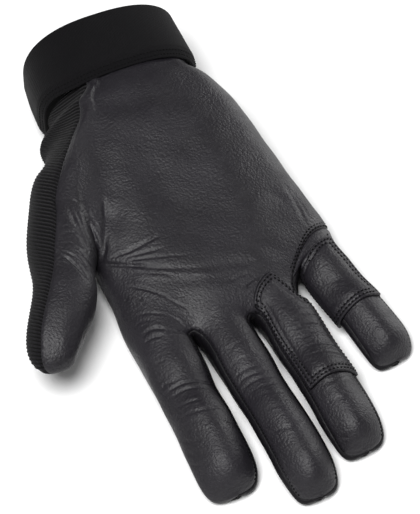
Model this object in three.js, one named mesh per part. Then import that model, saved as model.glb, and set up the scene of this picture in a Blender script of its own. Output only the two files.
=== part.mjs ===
import * as THREE from "three";

// A close-fitting riding glove for the right hand, lying on its back with the palm up.
// Millimetres. Palm faces +Z, fingers point to -Y, thumb to -X, little finger to +X.

// Driving sizes
const palmBreadth = 90.8; // across the roots of the four fingers
const handLength = 117; // cuff seam to the slit beside the index finger
const wristDepth = 38; // back to palm, just below the cuff
const fingerLength = 86; // root to tip of the middle finger
const fingerDepth = 21.5; // front to back of the middle finger
const thumbReach = 69; // root of the thumb to its tip
const thumbBreadth = 27; // across the ball of the thumb
const cuffHeight = 28; // width of the elastic band
const cuffWall = 1.9; // thickness of the elastic band
const cuffSlant = 6; // how far the cuff seam climbs from thumb side to little-finger side
const cuffTopSlant = 4; // and how far its open edge climbs
const leatherWall = 1.3;
const knitWall = 1.7;
const patchWall = 1.2;
const seamGap = 0.3; // between neighbouring pieces
const patchGap = 0.45; // clearance between a patch and the leather that it is sewn on
const seamThinning = 0.8; // wall of a pared seam edge, as a share of the panel's wall
const foldDepth = 1.4; // deepest leather folds
const settle = 0.5; // how far the soft back sinks flat under its own weight
const bandEase = 0.9; // between the glove's edge and the band round it

// Places that follow from the driving sizes
const seamY = 0.7 * handLength;
const radialX = -0.485 * palmBreadth; // thumb side of the index finger's root
const backZ = 0; // the back lies on this level
const roundness = 2.4; // exponent of the rounded sections

// Rows of a table as objects, by the names of its columns
function table(columns, rows) {
  const names = columns.split(" ");
  return rows.map((row) => Object.fromEntries(names.map((name, i) => [name, row[i]])));
}

// Fingers: shares of palm breadth, finger length, finger depth and hand length, then degrees
const fingers = [
  { name: "index", root: 0.268, breadth: 0.975, length: 0.852, depth: 1.0, down: 0.955, splay: 3.9 },
  { name: "middle", root: 0.255, breadth: 0.97, length: 0.962, depth: 1.0, down: 0.975, splay: 6.95 },
  { name: "ring", root: 0.257, breadth: 0.945, length: 0.87, depth: 0.95, down: 0.935, splay: 7.55 },
  { name: "little", root: 0.238, breadth: 0.925, length: 0.69, depth: 0.86, down: 0.78, splay: 14.2 },
];

// Slits between the fingers: share of hand length at the palm and at the back, and how far the
// slit lies off the edge between the two roots, as a share of the ring finger's root
const slits = [
  { front: 1.0, back: 0.93, aside: 0 },
  { front: 1.003, back: 0.93, aside: 0 },
  { front: 0.885, back: 0.82, aside: -0.07 },
];
const slitHeight = { front: 0.88, back: 0.26, lowest: 0.5 }; // shares of finger depth
const slitSag = 0.012; // lowest point beyond the middle of the slit, share of finger length

// Knuckles: height of the roots on the palm, and how far the back's points lie nearer the cuff,
// then the points at the two outer sides, inwards of the root's edge, nearer the cuff, and high
const knuckleHeight = 1.07; // share of finger depth
const knuckleStep = 0.058; // share of finger length
const knuckleCorners = {
  index: {
    palm: { inwards: 0.1, step: 0.047, height: 0.8 },
    side: { inwards: -0.012, step: 0.07, height: 0.5 },
    back: { inwards: 0.12, step: 0.07, height: 0.14 },
  },
  little: {
    palm: { inwards: 0.1, step: 0.058, height: 0.835 },
    side: { inwards: -0.01, step: 0.081, height: 0.52 },
    back: { inwards: 0.12, step: 0.07, height: 0.16 },
  },
};

// Finger sections from root to tip: shares of finger length, breadth and depth, then the angles
// of the front seams, the sides and the back seams above the level, and how deep a crease lies
const fingerSections = [
  { along: 0.12, breadth: 0.96, depth: 1.02, seam: 44, side: 0, back: -44, crease: 0 },
  { along: 0.25, breadth: 0.97, depth: 1.02, seam: 44, side: 0, back: -44, crease: 0.4 },
  { along: 0.4, breadth: 0.97, depth: 0.97, seam: 41, side: 0, back: -44, crease: 0.8 },
  { along: 0.56, breadth: 0.98, depth: 1.0, seam: 38, side: -1, back: -44, crease: 0 },
  { along: 0.74, breadth: 0.97, depth: 0.94, seam: 33, side: -4, back: -46, crease: 0.3 },
  { along: 0.88, breadth: 0.94, depth: 0.82, seam: 17, side: -16, back: -52, crease: 0 },
  { along: 0.965, breadth: 0.72, depth: 0.56, seam: -8, side: -34, back: -62, crease: 0 },
];
const tipHeight = 0.28; // end of each finger, share of finger depth

// Hand sections from cuff to knuckles: share of hand length, thumb-side and little-finger-side
// edges as shares of palm breadth, heights as shares of wrist depth, hollow of the palm,
// where the thumb-side seam runs across the palm (-1 edge to +1 edge), and how deep the
// valleys lie that lead to the slits
const handSections = table("along radial ulnar side top back hollow seam valley", [
  [-0.04, -0.427, 0.262, 0.51, 1.0, 0.1, 0, -0.48, 0],
  [0.015, -0.432, 0.266, 0.51, 1.01, 0.1, 0, -0.48, 0],
  [0.07, -0.503, 0.308, 0.5, 1.04, 0.01, 0, -0.5, 0],
  [0.15, -0.506, 0.346, 0.5, 1.05, 0, 0.01, -0.57, 0],
  [0.27, -0.54, 0.387, 0.47, 1.04, 0, 0.05, -0.68, 0],
  [0.41, -0.54, 0.416, 0.45, 0.99, 0, 0.09, -0.74, 0],
  [0.55, -0.52, 0.441, 0.41, 0.92, 0, 0.1, -0.8, 0],
  [0.68, -0.5, 0.465, 0.38, 0.84, 0, 0.07, -0.84, 0],
  [0.79, -0.49, 0.487, 0.36, 0.77, 0, 0.03, -0.86, 0.01],
  [0.9, -0.485, 0.508, 0.34, 0.7, 0, 0, -0.88, 0.05],
]);
const thumbRows = { first: 3, last: 7 }; // hand sections between which the thumb leaves the palm

// Thumb sections from palm to tip: centre as shares of thumb reach from the wrist corner,
// heading in degrees from the finger direction, shares of thumb breadth, seam angle
const thumbSections = [
  { x: -0.7, y: 0.45, z: 0.3, heading: 76, breadth: 1.62, depth: 1.16, seam: 105 },
  { x: -0.767, y: 0.31, z: 0.34, heading: 60, breadth: 1.3, depth: 1.02, seam: 98 },
  { x: -0.843, y: 0.12, z: 0.36, heading: 44, breadth: 1.08, depth: 0.93, seam: 98 },
  { x: -0.88, y: -0.06, z: 0.365, heading: 33, breadth: 0.95, depth: 0.88, seam: 109 },
  { x: -0.956, y: -0.215, z: 0.365, heading: 29, breadth: 0.875, depth: 0.83, seam: 113 },
  { x: -1.044, y: -0.355, z: 0.36, heading: 27, breadth: 0.785, depth: 0.72, seam: 113 },
  { x: -1.1, y: -0.47, z: 0.355, heading: 26, breadth: 0.63, depth: 0.5, seam: 114 },
];
const thumbTip = { x: -1.148, y: -0.55, z: 0.35 };

// Patches: finger, columns of its net at the two long edges (the inner one runs aslant), rows at
// the two ends, and the row from which the patch also wraps the side of the finger
const patches = [
  { finger: "ring", left: [0.28, 0.3], right: [2.5, 2.5], top: -0.2, bottom: 4.3, wrap: 1 },
  { finger: "little", left: [7, 7], right: [9.85, 9.7], top: 0.5, bottom: 4.2, wrap: 1 },
];

const rad = THREE.MathUtils.degToRad;
const vec = (x, y, z) => new THREE.Vector3(x, y, z);

// Point of a rounded section of unit half-width at an angle above its right side
function rounded(angle) {
  const c = Math.cos(rad(angle));
  const s = Math.sin(rad(angle));
  const r = (Math.abs(c) ** roundness + Math.abs(s) ** roundness) ** (-1 / roundness);
  return [c * r, s * r];
}

// Net of four-sided faces: every face keeps its region and its place in that region
const points = [];
const faces = [];
const addPoint = (p) => points.push(p) - 1;

// Joins two rings of the same count into a band of faces
function addBand(region, upper, lower, row, skip = () => false) {
  const n = upper.length;
  for (let k = 0; k < n; k++) {
    if (skip(k)) continue;
    const m = (k + 1) % n;
    faces.push({
      region,
      corners: [upper[k], lower[k], lower[m], upper[m]],
      place: [
        [k, row],
        [k, row + 1],
        [k + 1, row + 1],
        [k + 1, row],
      ],
    });
  }
}

// Closes the last ring with one point and faces of two columns each
function addTip(region, ring, tip, row) {
  for (let k = 0; k < ring.length; k += 2) {
    faces.push({
      region,
      corners: [ring[k], tip, ring[(k + 2) % ring.length], ring[k + 1]],
      place: [
        [k, row],
        [k + 1, row + 1],
        [k + 2, row],
        [k + 1, row],
      ],
    });
  }
}

// Root of each finger and the edges between them
let edge = radialX;
const edges = [edge];
for (const f of fingers) {
  f.breadthMm = f.root * palmBreadth;
  f.depthMm = f.depth * fingerDepth;
  f.lengthMm = f.length * fingerLength;
  f.centre = vec(edge + f.breadthMm / 2, seamY - f.down * handLength, 0);
  edge += f.breadthMm;
  edges.push(edge);
}
const slitY = (i, side) => seamY - slits[i][side] * handLength;

// Knuckle ring, from the thumb side over the palm to the little-finger side and back
const knucklePalm = [];
const knuckleBack = [];
function knuckleCorner(f, corner) {
  const atIndex = f === fingers[0];
  const inwards = corner.inwards * f.breadthMm;
  const x = atIndex ? edges[0] + inwards : edges[fingers.length] - inwards;
  return vec(x, f.centre.y + corner.step * fingerLength, backZ + corner.height * f.depthMm);
}
fingers.forEach((f, i) => {
  const corners = knuckleCorners[f.name];
  if (i === 0) {
    knucklePalm.push(knuckleCorner(f, corners.palm));
    knuckleBack.push(knuckleCorner(f, corners.back));
  }
  knucklePalm.push(vec(f.centre.x, f.centre.y, knuckleHeight * f.depthMm));
  knuckleBack.push(vec(f.centre.x, f.centre.y + knuckleStep * fingerLength, backZ));
  if (i === fingers.length - 1) {
    knucklePalm.push(knuckleCorner(f, corners.palm));
    knuckleBack.push(knuckleCorner(f, corners.back));
  } else {
    const x = edges[i + 1] + slits[i].aside * fingers[2].breadthMm;
    knucklePalm.push(vec(x, slitY(i, "front"), slitHeight.front * f.depthMm));
    knuckleBack.push(vec(x, slitY(i, "back"), slitHeight.back * f.depthMm));
  }
});
const knuckleThumbSide = knuckleCorner(fingers[0], knuckleCorners.index.side);
const knuckleOuter = knuckleCorner(fingers[3], knuckleCorners.little.side);
const knuckleRing = [knuckleThumbSide, ...knucklePalm, knuckleOuter, ...knuckleBack.slice().reverse()];
const handColumns = knuckleRing.length;
const palmColumns = knucklePalm.length;

// Share across the palm of each column: even at the wrist, at the fingers near the knuckles
function across(section, column) {
  const even = section.seam + ((0.84 - section.seam) * column) / (palmColumns - 1);
  const atFingers = ((knucklePalm[column].x - edges[0]) / (edges[4] - edges[0])) * 2 - 1;
  const blend = THREE.MathUtils.clamp(section.along, 0, 1) ** 1.2;
  return even * (1 - blend) + atFingers * blend;
}

// Hand rings
const handRings = handSections.map((s) => {
  const left = s.radial * palmBreadth;
  const right = s.ulnar * palmBreadth;
  const side = s.side * wristDepth;
  return knuckleRing.map((knuckle, k) => {
    const start = (x) => seamY + (cuffSlant * x) / palmBreadth;
    const down = (x) =>
      s.along <= 0.02
        ? start(x) - handLength * s.along
        : start(x) + (knuckle.y - start(x)) * s.along;
    if (k === 0) return addPoint(vec(left, down(left), side));
    if (k === palmColumns + 1) return addPoint(vec(right, down(right), side));
    const palm = k <= palmColumns;
    const column = palm ? k - 1 : handColumns - 1 - k;
    const share = across(palm ? s : { ...s, seam: -0.8 }, column);
    const x = left + ((share + 1) / 2) * (right - left);
    const arch = (1 - Math.abs(share) ** 2.5) ** 0.4;
    const flat = (1 - Math.abs(share) ** 4) ** 0.25;
    const bowl = s.hollow * Math.exp(-(((share + 0.05) / 0.45) ** 2));
    const toSlit = column % 2 === 0 && column > 0 && column < palmColumns - 1;
    const dip = (bowl + (toSlit ? s.valley : 0)) * wristDepth;
    const z = palm
      ? side + (s.top * wristDepth - side) * arch - dip
      : side + (s.back * wristDepth - side) * flat;
    return addPoint(vec(x, down(x), z));
  });
});
handRings.push(knuckleRing.map(addPoint));

// Lowest point of each slit between two fingers
const crotches = slits.map((_, i) => {
  const front = knucklePalm[2 * i + 2];
  const back = knuckleBack[2 * i + 2];
  const middle = front.clone().add(back).multiplyScalar(0.5);
  return addPoint(vec(middle.x, middle.y - slitSag * fingerLength, slitHeight.lowest * fingerDepth));
});

for (let j = 0; j + 1 < handRings.length; j++) {
  const open = (k) => j >= thumbRows.first && j < thumbRows.last && (k === handColumns - 1 || k === 0);
  addBand("hand", handRings[j], handRings[j + 1], j, open);
}

// Fingers
const last = handRings[handRings.length - 1];
const palmAt = (i) => last[i + 1];
const backAt = (i) => last[handColumns - 1 - i];
fingers.forEach((f, i) => {
  const leftSide = i === 0 ? last[0] : crotches[i - 1];
  const rightSide = i === fingers.length - 1 ? last[palmColumns + 1] : crotches[i];
  const p = 2 * i;
  let ring = [
    palmAt(p), palmAt(p + 1), palmAt(p + 2), rightSide,
    backAt(p + 2), backAt(p + 1), backAt(p), leftSide,
  ];
  const along = vec(Math.sin(rad(f.splay)), -Math.cos(rad(f.splay)), 0);
  const aside = vec(Math.cos(rad(f.splay)), Math.sin(rad(f.splay)), 0);
  fingerSections.forEach((s, row) => {
    const halfWidth = (f.breadthMm * f.breadth * s.breadth) / 2;
    const halfDepth = (f.depthMm * s.depth) / 2;
    const angles = [180 - s.seam, 90, s.seam, s.side, s.back, -90, 180 - s.back, 180 - s.side];
    const next = angles.map((a) => {
      const [c, h] = rounded(a);
      const fold = h > 0 ? s.crease * foldDepth * h : 0;
      const z = backZ + halfDepth * (1 + h) - fold;
      const p3 = f.centre.clone().addScaledVector(along, f.lengthMm * s.along);
      return addPoint(p3.addScaledVector(aside, c * halfWidth).setZ(z));
    });
    addBand(f.name, ring, next, row);
    ring = next;
  });
  const tip = f.centre.clone().addScaledVector(along, f.lengthMm).setZ(tipHeight * f.depthMm);
  addTip(f.name, ring, addPoint(tip), fingerSections.length);
});

// Thumb
const thumbRing = [];
for (let j = thumbRows.first; j <= thumbRows.last; j++) thumbRing.push(handRings[j][1]);
thumbRing.push(handRings[thumbRows.last][0]);
for (let j = thumbRows.last; j >= thumbRows.first; j--) thumbRing.push(handRings[j][handColumns - 1]);
thumbRing.push(handRings[thumbRows.first][0]);
const thumbHalf = thumbRing.length / 2;
const webAngle = -38;
let ring = thumbRing;
thumbSections.forEach((s, row) => {
  const aside = vec(Math.cos(rad(s.heading)), -Math.sin(rad(s.heading)), 0);
  const centre = vec(s.x, s.y, s.z).multiplyScalar(thumbReach);
  const next = thumbRing.map((_, k) => {
    const leather = s.seam + ((webAngle - s.seam) * k) / thumbHalf;
    const knit = webAngle + ((s.seam - 360 - webAngle) * (k - thumbHalf)) / thumbHalf;
    const [c, h] = rounded(k <= thumbHalf ? leather : knit);
    const p = centre.clone().addScaledVector(aside, (c * thumbBreadth * s.breadth) / 2);
    return addPoint(p.setZ(centre.z + (h * thumbBreadth * s.depth) / 2));
  });
  addBand("thumb", ring, next, row);
  ring = next;
});
const endOfThumb = vec(thumbTip.x, thumbTip.y, thumbTip.z).multiplyScalar(thumbReach);
addTip("thumb", ring, addPoint(endOfThumb), thumbSections.length);

// Edges of a net, each with the faces beside it
function edgesOf(net) {
  const found = new Map();
  net.forEach((f, i) => {
    f.edges = f.corners.map((a, n) => {
      const b = f.corners[(n + 1) % 4];
      const key = a < b ? `${a} ${b}` : `${b} ${a}`;
      if (!found.has(key)) found.set(key, { a: Math.min(a, b), b: Math.max(a, b), faces: [] });
      const e = found.get(key);
      e.faces.push(i);
      return e;
    });
  });
  return [...found.values()];
}

// Places where the smooth surface of the net comes to lie
function smoothPlaces(pts, net) {
  const count = pts.map(() => 0);
  const ring = pts.map(() => vec(0, 0, 0));
  const far = pts.map(() => vec(0, 0, 0));
  const rim = pts.map(() => null);
  for (const e of edgesOf(net)) {
    count[e.a]++;
    count[e.b]++;
    ring[e.a].add(pts[e.b]);
    ring[e.b].add(pts[e.a]);
    if (e.faces.length === 1) {
      rim[e.a] = (rim[e.a] || vec(0, 0, 0)).add(pts[e.b]);
      rim[e.b] = (rim[e.b] || vec(0, 0, 0)).add(pts[e.a]);
    }
  }
  for (const f of net) f.corners.forEach((c, n) => far[c].add(pts[f.corners[(n + 2) % 4]]));
  return pts.map((p, i) => {
    const n = count[i];
    if (n === 0) return p.clone();
    if (rim[i]) return p.clone().multiplyScalar(4).add(rim[i]).divideScalar(6);
    const sum = p.clone().multiplyScalar(n * n).addScaledVector(ring[i], 4).add(far[i]);
    return sum.divideScalar(n * (n + 5));
  });
}

// Moves the net's points so that its smooth surface passes through the given places
function drawnThrough(places, net) {
  const pts = places.map((p) => p.clone());
  for (let pass = 0; pass < 5; pass++) {
    const now = smoothPlaces(pts, net);
    pts.forEach((p, i) => p.addScaledVector(places[i].clone().sub(now[i]), 0.9));
  }
  return pts;
}

// Splits every face into four
function halved(pts, net) {
  const list = edgesOf(net);
  const middle = net.map((f) => {
    const m = vec(0, 0, 0);
    f.corners.forEach((c) => m.addScaledVector(pts[c], 0.25));
    return m;
  });
  const moved = pts.map(() => ({ n: 0, faces: vec(0, 0, 0), beside: vec(0, 0, 0), rim: null }));
  net.forEach((f, i) => f.corners.forEach((c) => moved[c].faces.add(middle[i])));
  for (const e of list) {
    const half = pts[e.a].clone().add(pts[e.b]).multiplyScalar(0.5);
    for (const [at, other] of [[e.a, e.b], [e.b, e.a]]) {
      moved[at].n++;
      moved[at].beside.add(half);
      if (e.faces.length === 1) moved[at].rim = (moved[at].rim || vec(0, 0, 0)).add(pts[other]);
    }
    e.point = half;
    if (e.faces.length === 2) {
      half.multiplyScalar(0.5);
      for (const f of e.faces) half.addScaledVector(middle[f], 0.25);
    }
  }
  const out = pts.map((p, i) => {
    const m = moved[i];
    if (m.n === 0) return p.clone();
    if (m.rim) return p.clone().multiplyScalar(6).add(m.rim).divideScalar(8);
    const sum = m.faces.divideScalar(m.n).addScaledVector(m.beside.divideScalar(m.n), 2);
    return sum.addScaledVector(p, m.n - 3).divideScalar(m.n);
  });
  const edgeStart = out.length;
  list.forEach((e, i) => {
    e.index = edgeStart + i;
    out.push(e.point);
  });
  const faceStart = out.length;
  out.push(...middle);
  const halfway = (a, b) => [(a[0] + b[0]) / 2, (a[1] + b[1]) / 2];
  const split = [];
  net.forEach((f, i) => {
    const centre = halfway(halfway(f.place[0], f.place[2]), halfway(f.place[1], f.place[3]));
    for (let n = 0; n < 4; n++) {
      const before = (n + 3) % 4;
      split.push({
        region: f.region,
        corners: [f.corners[n], f.edges[n].index, faceStart + i, f.edges[before].index],
        place: [
          f.place[n],
          halfway(f.place[n], f.place[(n + 1) % 4]),
          centre,
          halfway(f.place[before], f.place[n]),
        ],
        whole: i,
      });
    }
  });
  return { pts: out, net: split };
}

const control = drawnThrough(points, faces);
const fine = halved(control, faces);
const skin = smoothPlaces(fine.pts, fine.net);

// The back settles on the level it lies on
for (const p of skin) p.z = Math.max(backZ, p.z - settle);

// Outward direction at every point of the skin
const outward = skin.map(() => vec(0, 0, 0));
for (const f of fine.net) {
  const [a, b, c, d] = f.corners.map((i) => skin[i]);
  const n = c.clone().sub(a).cross(d.clone().sub(b));
  f.corners.forEach((i) => outward[i].add(n));
}
outward.forEach((n) => n.normalize());
for (let pass = 0; pass < 4; pass++) {
  const before = outward.map((n) => n.clone());
  for (const f of fine.net) {
    f.corners.forEach((c, n) => outward[c].addScaledVector(before[f.corners[(n + 1) % 4]], 0.25));
  }
  outward.forEach((n) => n.normalize());
}

// Index of the skin's points by region and place
const byPlace = new Map();
for (const f of fine.net) {
  f.corners.forEach((c, n) => byPlace.set(`${f.region} ${f.place[n][0]} ${f.place[n][1]}`, c));
}

const whole = faces.map((f) => {
  const u = Math.min(...f.place.map((q) => q[0]));
  const v = Math.min(...f.place.map((q) => q[1]));
  return { region: f.region, u, v };
});

// Which piece a face of the net belongs to
function pieceOf({ region, u, v }) {
  if (region === "hand") {
    if (u >= 1 && u < palmColumns + 2) return "palm_panel";
    if ((u === 0 || u === handColumns - 1) && v >= thumbRows.last) return "palm_panel";
    return "back_panel";
  }
  if (region === "thumb") return u < thumbHalf ? "palm_panel" : "back_panel";
  const i = fingers.findIndex((f) => f.name === region);
  if (u >= 4 && u < 6) return "back_panel";
  if (u >= 2 && u < 4 && i < 3) return `fourchette_${region}_${fingers[i + 1].name}`;
  if (u >= 6 && i > 0) return `fourchette_${fingers[i - 1].name}_${region}`;
  return i === 3 ? "little_finger_front" : "palm_panel";
}

// Closed shell from faces: outer side on the skin, inner side one wall below it, borders
// drawn back from the neighbouring piece by half the seam gap
function shell(net, wall) {
  const quads = net.map((f) => f.corners);
  const at = new Map();
  quads.forEach((q) => q.forEach((a) => at.set(a, skin[a].clone())));
  const border = new Map();
  for (const [a, b] of rimsOf(quads)) {
    for (const i of [a, b]) {
      const into = outward[i].clone().cross(skin[b].clone().sub(skin[a])).normalize();
      if (!border.has(i)) border.set(i, []);
      border.get(i).push(into);
    }
  }
  for (const [i, ways] of border) {
    const sum = ways.reduce((t, w) => t.add(w), vec(0, 0, 0));
    const scale = ways.length / Math.max(sum.lengthSq() / ways.length, 0.5);
    at.get(i).addScaledVector(sum, (scale * seamGap) / 2 / ways.length);
  }
  return closedShell(quads, at, outward, 0, wall, seamThinning);
}

// Edges with a face on one side only
function rimsOf(quads) {
  const beside = new Set();
  for (const q of quads) q.forEach((a, n) => beside.add(`${a} ${q[(n + 1) % 4]}`));
  const rims = [];
  for (const q of quads) {
    q.forEach((a, n) => {
      const b = q[(n + 1) % 4];
      if (!beside.has(`${b} ${a}`)) rims.push([a, b]);
    });
  }
  return rims;
}

// Triangles of a thick sheet between two levels above its points; its rims may be thinner
function closedShell(quads, at, up, high, wall, rimShare = 1) {
  const triangles = [];
  const rims = rimsOf(quads);
  const onRim = new Set(rims.flat());
  const outer = new Map();
  const inner = new Map();
  for (const [i, p] of at) {
    const thickness = onRim.has(i) ? wall * rimShare : wall;
    outer.set(i, p.clone().addScaledVector(up[i], high));
    inner.set(i, p.clone().addScaledVector(up[i], high - thickness));
  }
  const quad = (a, b, c, d) => triangles.push(a, b, c, a, c, d);
  for (const q of quads) {
    quad(...q.map((i) => outer.get(i)));
    quad(...[q[3], q[2], q[1], q[0]].map((i) => inner.get(i)));
  }
  for (const [a, b] of rims) quad(outer.get(b), outer.get(a), inner.get(a), inner.get(b));
  return triangles;
}

// Meshes
const leather = { color: 0x35333a, roughness: 0.5, metalness: 0 };
const knitted = { color: 0x232126, roughness: 0.95, metalness: 0 };
const webbing = { color: 0x211f24, roughness: 0.9, metalness: 0 };
const glove = new THREE.Group();
glove.name = "horse_riding_glove";

function addPiece(name, triangles, look) {
  const geometry = new THREE.BufferGeometry().setFromPoints(triangles);
  geometry.computeVertexNormals();
  const mesh = new THREE.Mesh(geometry, new THREE.MeshStandardMaterial(look));
  mesh.name = name;
  glove.add(mesh);
}

const pieceFaces = new Map();
for (const f of fine.net) {
  const name = pieceOf(whole[f.whole]);
  if (!pieceFaces.has(name)) pieceFaces.set(name, []);
  pieceFaces.get(name).push(f);
}
for (const [name, net] of pieceFaces) {
  const isKnit = name === "back_panel";
  addPiece(name, shell(net, isKnit ? knitWall : leatherWall), isKnit ? knitted : leather);
}

// Point and outward direction anywhere on a finger, or on the palm just above its front
function onFinger(name, u, v) {
  const step = 0.5;
  const u0 = Math.floor(u / step) * step;
  const v0 = Math.floor(v / step) * step;
  const fu = (u - u0) / step;
  const fv = (v - v0) / step;
  const first = 1 + 2 * fingers.findIndex((f) => f.name === name);
  const place = (a, b) =>
    b < 0 ? `hand ${first + a} ${handSections.length + b}` : `${name} ${a > 8 ? a - 8 : a} ${b}`;
  const p = vec(0, 0, 0);
  const n = vec(0, 0, 0);
  for (const [du, dv, w] of [
    [0, 0, (1 - fu) * (1 - fv)],
    [step, 0, fu * (1 - fv)],
    [0, step, (1 - fu) * fv],
    [step, step, fu * fv],
  ]) {
    if (w === 0) continue;
    const i = byPlace.get(place(u0 + du, v0 + dv));
    p.addScaledVector(skin[i], w);
    n.addScaledVector(outward[i], w);
  }
  return { p, n: n.normalize() };
}

// Lines of a patch: its two edges and every line of the net between them
function linesBetween(from, to) {
  const lines = [from];
  for (let x = Math.ceil(from * 2 + 0.2) / 2; x < to - 0.1; x += 0.5) lines.push(x);
  return [...lines, to];
}

for (const patch of patches) {
  const us = linesBetween(patch.left[0], patch.right[0]);
  const vs = linesBetween(patch.top, patch.bottom);
  const aslant = ([from, to], v) => from + ((to - from) * (v - vs[0])) / (patch.bottom - patch.top);
  const column = (a, v) => {
    if (a === 0) return aslant(patch.left, v);
    return a === us.length - 1 ? aslant(patch.right, v) : us[a];
  };
  const at = new Map();
  const up = [];
  const id = (a, b) => a * vs.length + b;
  const quads = [];
  for (let a = 0; a + 1 < us.length; a++) {
    const middle = (us[a] + us[a + 1]) / 2;
    const onSide = middle > 2 && middle < 8;
    const besideSlit = middle > 1.5 && middle < 2;
    for (let b = 0; b + 1 < vs.length; b++) {
      if ((onSide && vs[b] < patch.wrap) || (besideSlit && vs[b] < 0)) continue;
      quads.push([id(a, b), id(a, b + 1), id(a + 1, b + 1), id(a + 1, b)]);
    }
  }
  for (const q of quads.flat()) {
    const v = vs[q % vs.length];
    const { p, n } = onFinger(patch.finger, column(Math.floor(q / vs.length), v), v);
    at.set(q, p);
    up[q] = n;
  }
  const wall = closedShell(quads, at, up, patchGap + patchWall, patchWall);
  addPiece(`${patch.finger}_finger_patch`, wall, leather);
}

// Elastic band round the wrist, over the upper edge of the glove
const bandColumns = 44;
// Sections of the band from its lower edge: share of its height, its breadth and depth as shares
// of the wrist's, and how far it leans to the thumb side, as a share of palm breadth
const bandSections = [
  { rise: 0, breadth: 0.99, depth: 1.002, lean: 0 },
  { rise: 0.2, breadth: 0.99, depth: 1.01, lean: 0 },
  { rise: 0.6, breadth: 0.978, depth: 1.05, lean: 0.001 },
  { rise: 1, breadth: 0.952, depth: 1.1, lean: 0.003 },
];
const wrist = handSections[1];
const wristHalf = ((wrist.ulnar - wrist.radial) * palmBreadth) / 2;
const wristMiddle = vec(
  ((wrist.ulnar + wrist.radial) * palmBreadth) / 2,
  0,
  wrist.side * wristDepth - settle,
);
const bandAt = new Map();
const bandUp = [];
const bandQuads = [];
bandSections.forEach((s, j) => {
  for (let k = 0; k < bandColumns; k++) {
    const angle = (2 * Math.PI * k) / bandColumns;
    const c = -Math.cos(angle);
    const h = Math.sin(angle);
    const power = h > 0 ? 2 / 2.5 : 2 / 5;
    const reach = (h > 0 ? wrist.top - wrist.side : wrist.side - wrist.back) * wristDepth;
    const x = Math.sign(c) * Math.abs(c) ** power * wristHalf;
    const z = Math.sign(h) * Math.abs(h) ** power * reach;
    const n = vec((c / wristHalf) * Math.abs(c) ** 0.2, 0, (h / reach) * Math.abs(h) ** 0.2).normalize();
    const p = vec(x * s.breadth - s.lean * palmBreadth, 0, z * (h > 0 ? s.depth : 1)).add(wristMiddle);
    const slant = cuffSlant + (cuffTopSlant - cuffSlant) * s.rise;
    p.y = seamY + (slant * p.x) / palmBreadth + cuffHeight * s.rise;
    bandAt.set(j * bandColumns + k, p.addScaledVector(n, bandEase));
    bandUp.push(n);
    if (j === 0) continue;
    const m = (k + 1) % bandColumns;
    const low = (j - 1) * bandColumns;
    const high = j * bandColumns;
    bandQuads.push([high + k, low + k, low + m, high + m]);
  }
});
addPiece("cuff_band", closedShell(bandQuads, bandAt, bandUp, cuffWall, cuffWall), webbing);

// The origin is the middle of the glove's footprint on the level it lies on
const box = new THREE.Box3().setFromObject(glove);
const middle = box.getCenter(vec(0, 0, 0));
glove.children.forEach((m) => m.geometry.translate(-middle.x, -middle.y, -box.min.z));

export default glove;
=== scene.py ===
"""A right-hand riding glove of soft leather, ribbed knit and elastic, lying with its palm up."""

import math
from types import SimpleNamespace

import bpy
import numpy as np
from mathutils import Matrix, Vector
from mathutils.bvhtree import BVHTree
from mathutils.kdtree import KDTree


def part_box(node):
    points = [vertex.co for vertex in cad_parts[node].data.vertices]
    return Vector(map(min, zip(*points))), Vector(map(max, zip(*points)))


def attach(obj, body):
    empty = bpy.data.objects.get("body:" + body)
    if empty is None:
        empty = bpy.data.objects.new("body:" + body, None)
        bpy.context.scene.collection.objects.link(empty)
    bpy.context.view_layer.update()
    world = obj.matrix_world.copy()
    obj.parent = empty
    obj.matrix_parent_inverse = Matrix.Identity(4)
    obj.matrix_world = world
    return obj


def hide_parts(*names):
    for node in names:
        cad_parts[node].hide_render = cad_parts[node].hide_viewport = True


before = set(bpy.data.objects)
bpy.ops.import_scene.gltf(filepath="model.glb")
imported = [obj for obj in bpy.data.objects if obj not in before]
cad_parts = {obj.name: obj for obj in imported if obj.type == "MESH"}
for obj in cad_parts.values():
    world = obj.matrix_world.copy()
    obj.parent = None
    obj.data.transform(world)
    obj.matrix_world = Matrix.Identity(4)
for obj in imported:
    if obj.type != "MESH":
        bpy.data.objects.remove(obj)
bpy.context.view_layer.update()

# Sizes are in millimetres until a mesh is made; palm +Z, fingers -Y, thumb -X
MM = 0.001
PALM_BREADTH = 90.8
HAND_LENGTH = 117
WRIST_DEPTH = 38
FINGER_LENGTH = 86
FINGER_DEPTH = 21.5
THUMB_REACH = 69
THUMB_BREADTH = 27
CUFF_HEIGHT = 28
CUFF_WALL = 1.9
CUFF_SLANT = 6
CUFF_TOP_SLANT = 4
LEATHER_WALL = 1.3
KNIT_WALL = 1.7
PATCH_WALL = 1.2
SEAM_GAP = 0.14
SEAM_THINNING = 0.8
FOLD_DEPTH = 1.4
SETTLE = 0.5
BAND_EASE = 0.9
SEAM_Y = 0.7 * HAND_LENGTH
RADIAL_X = -0.485 * PALM_BREADTH
ROUNDNESS = 2.4
PALM_ARCH, BACK_ARCH, CUFF_BACK_ARCH = 2.5, 4, 5
WEB_ANGLE = -38

# Photograph: its size in pixels, and the camera that took it
PHOTO_WIDTH, PHOTO_HEIGHT = 420, 514
AZIMUTH, ELEVATION = math.radians(-20.5), math.radians(53)
DISTANCE = 1200
LENS, SENSOR = 215.5, 36
AIM = np.array([11.7, 1.6, 12])


def table(columns, *rows):
    names = columns.split()
    return [SimpleNamespace(**dict(zip(names, row))) for row in rows]


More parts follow.
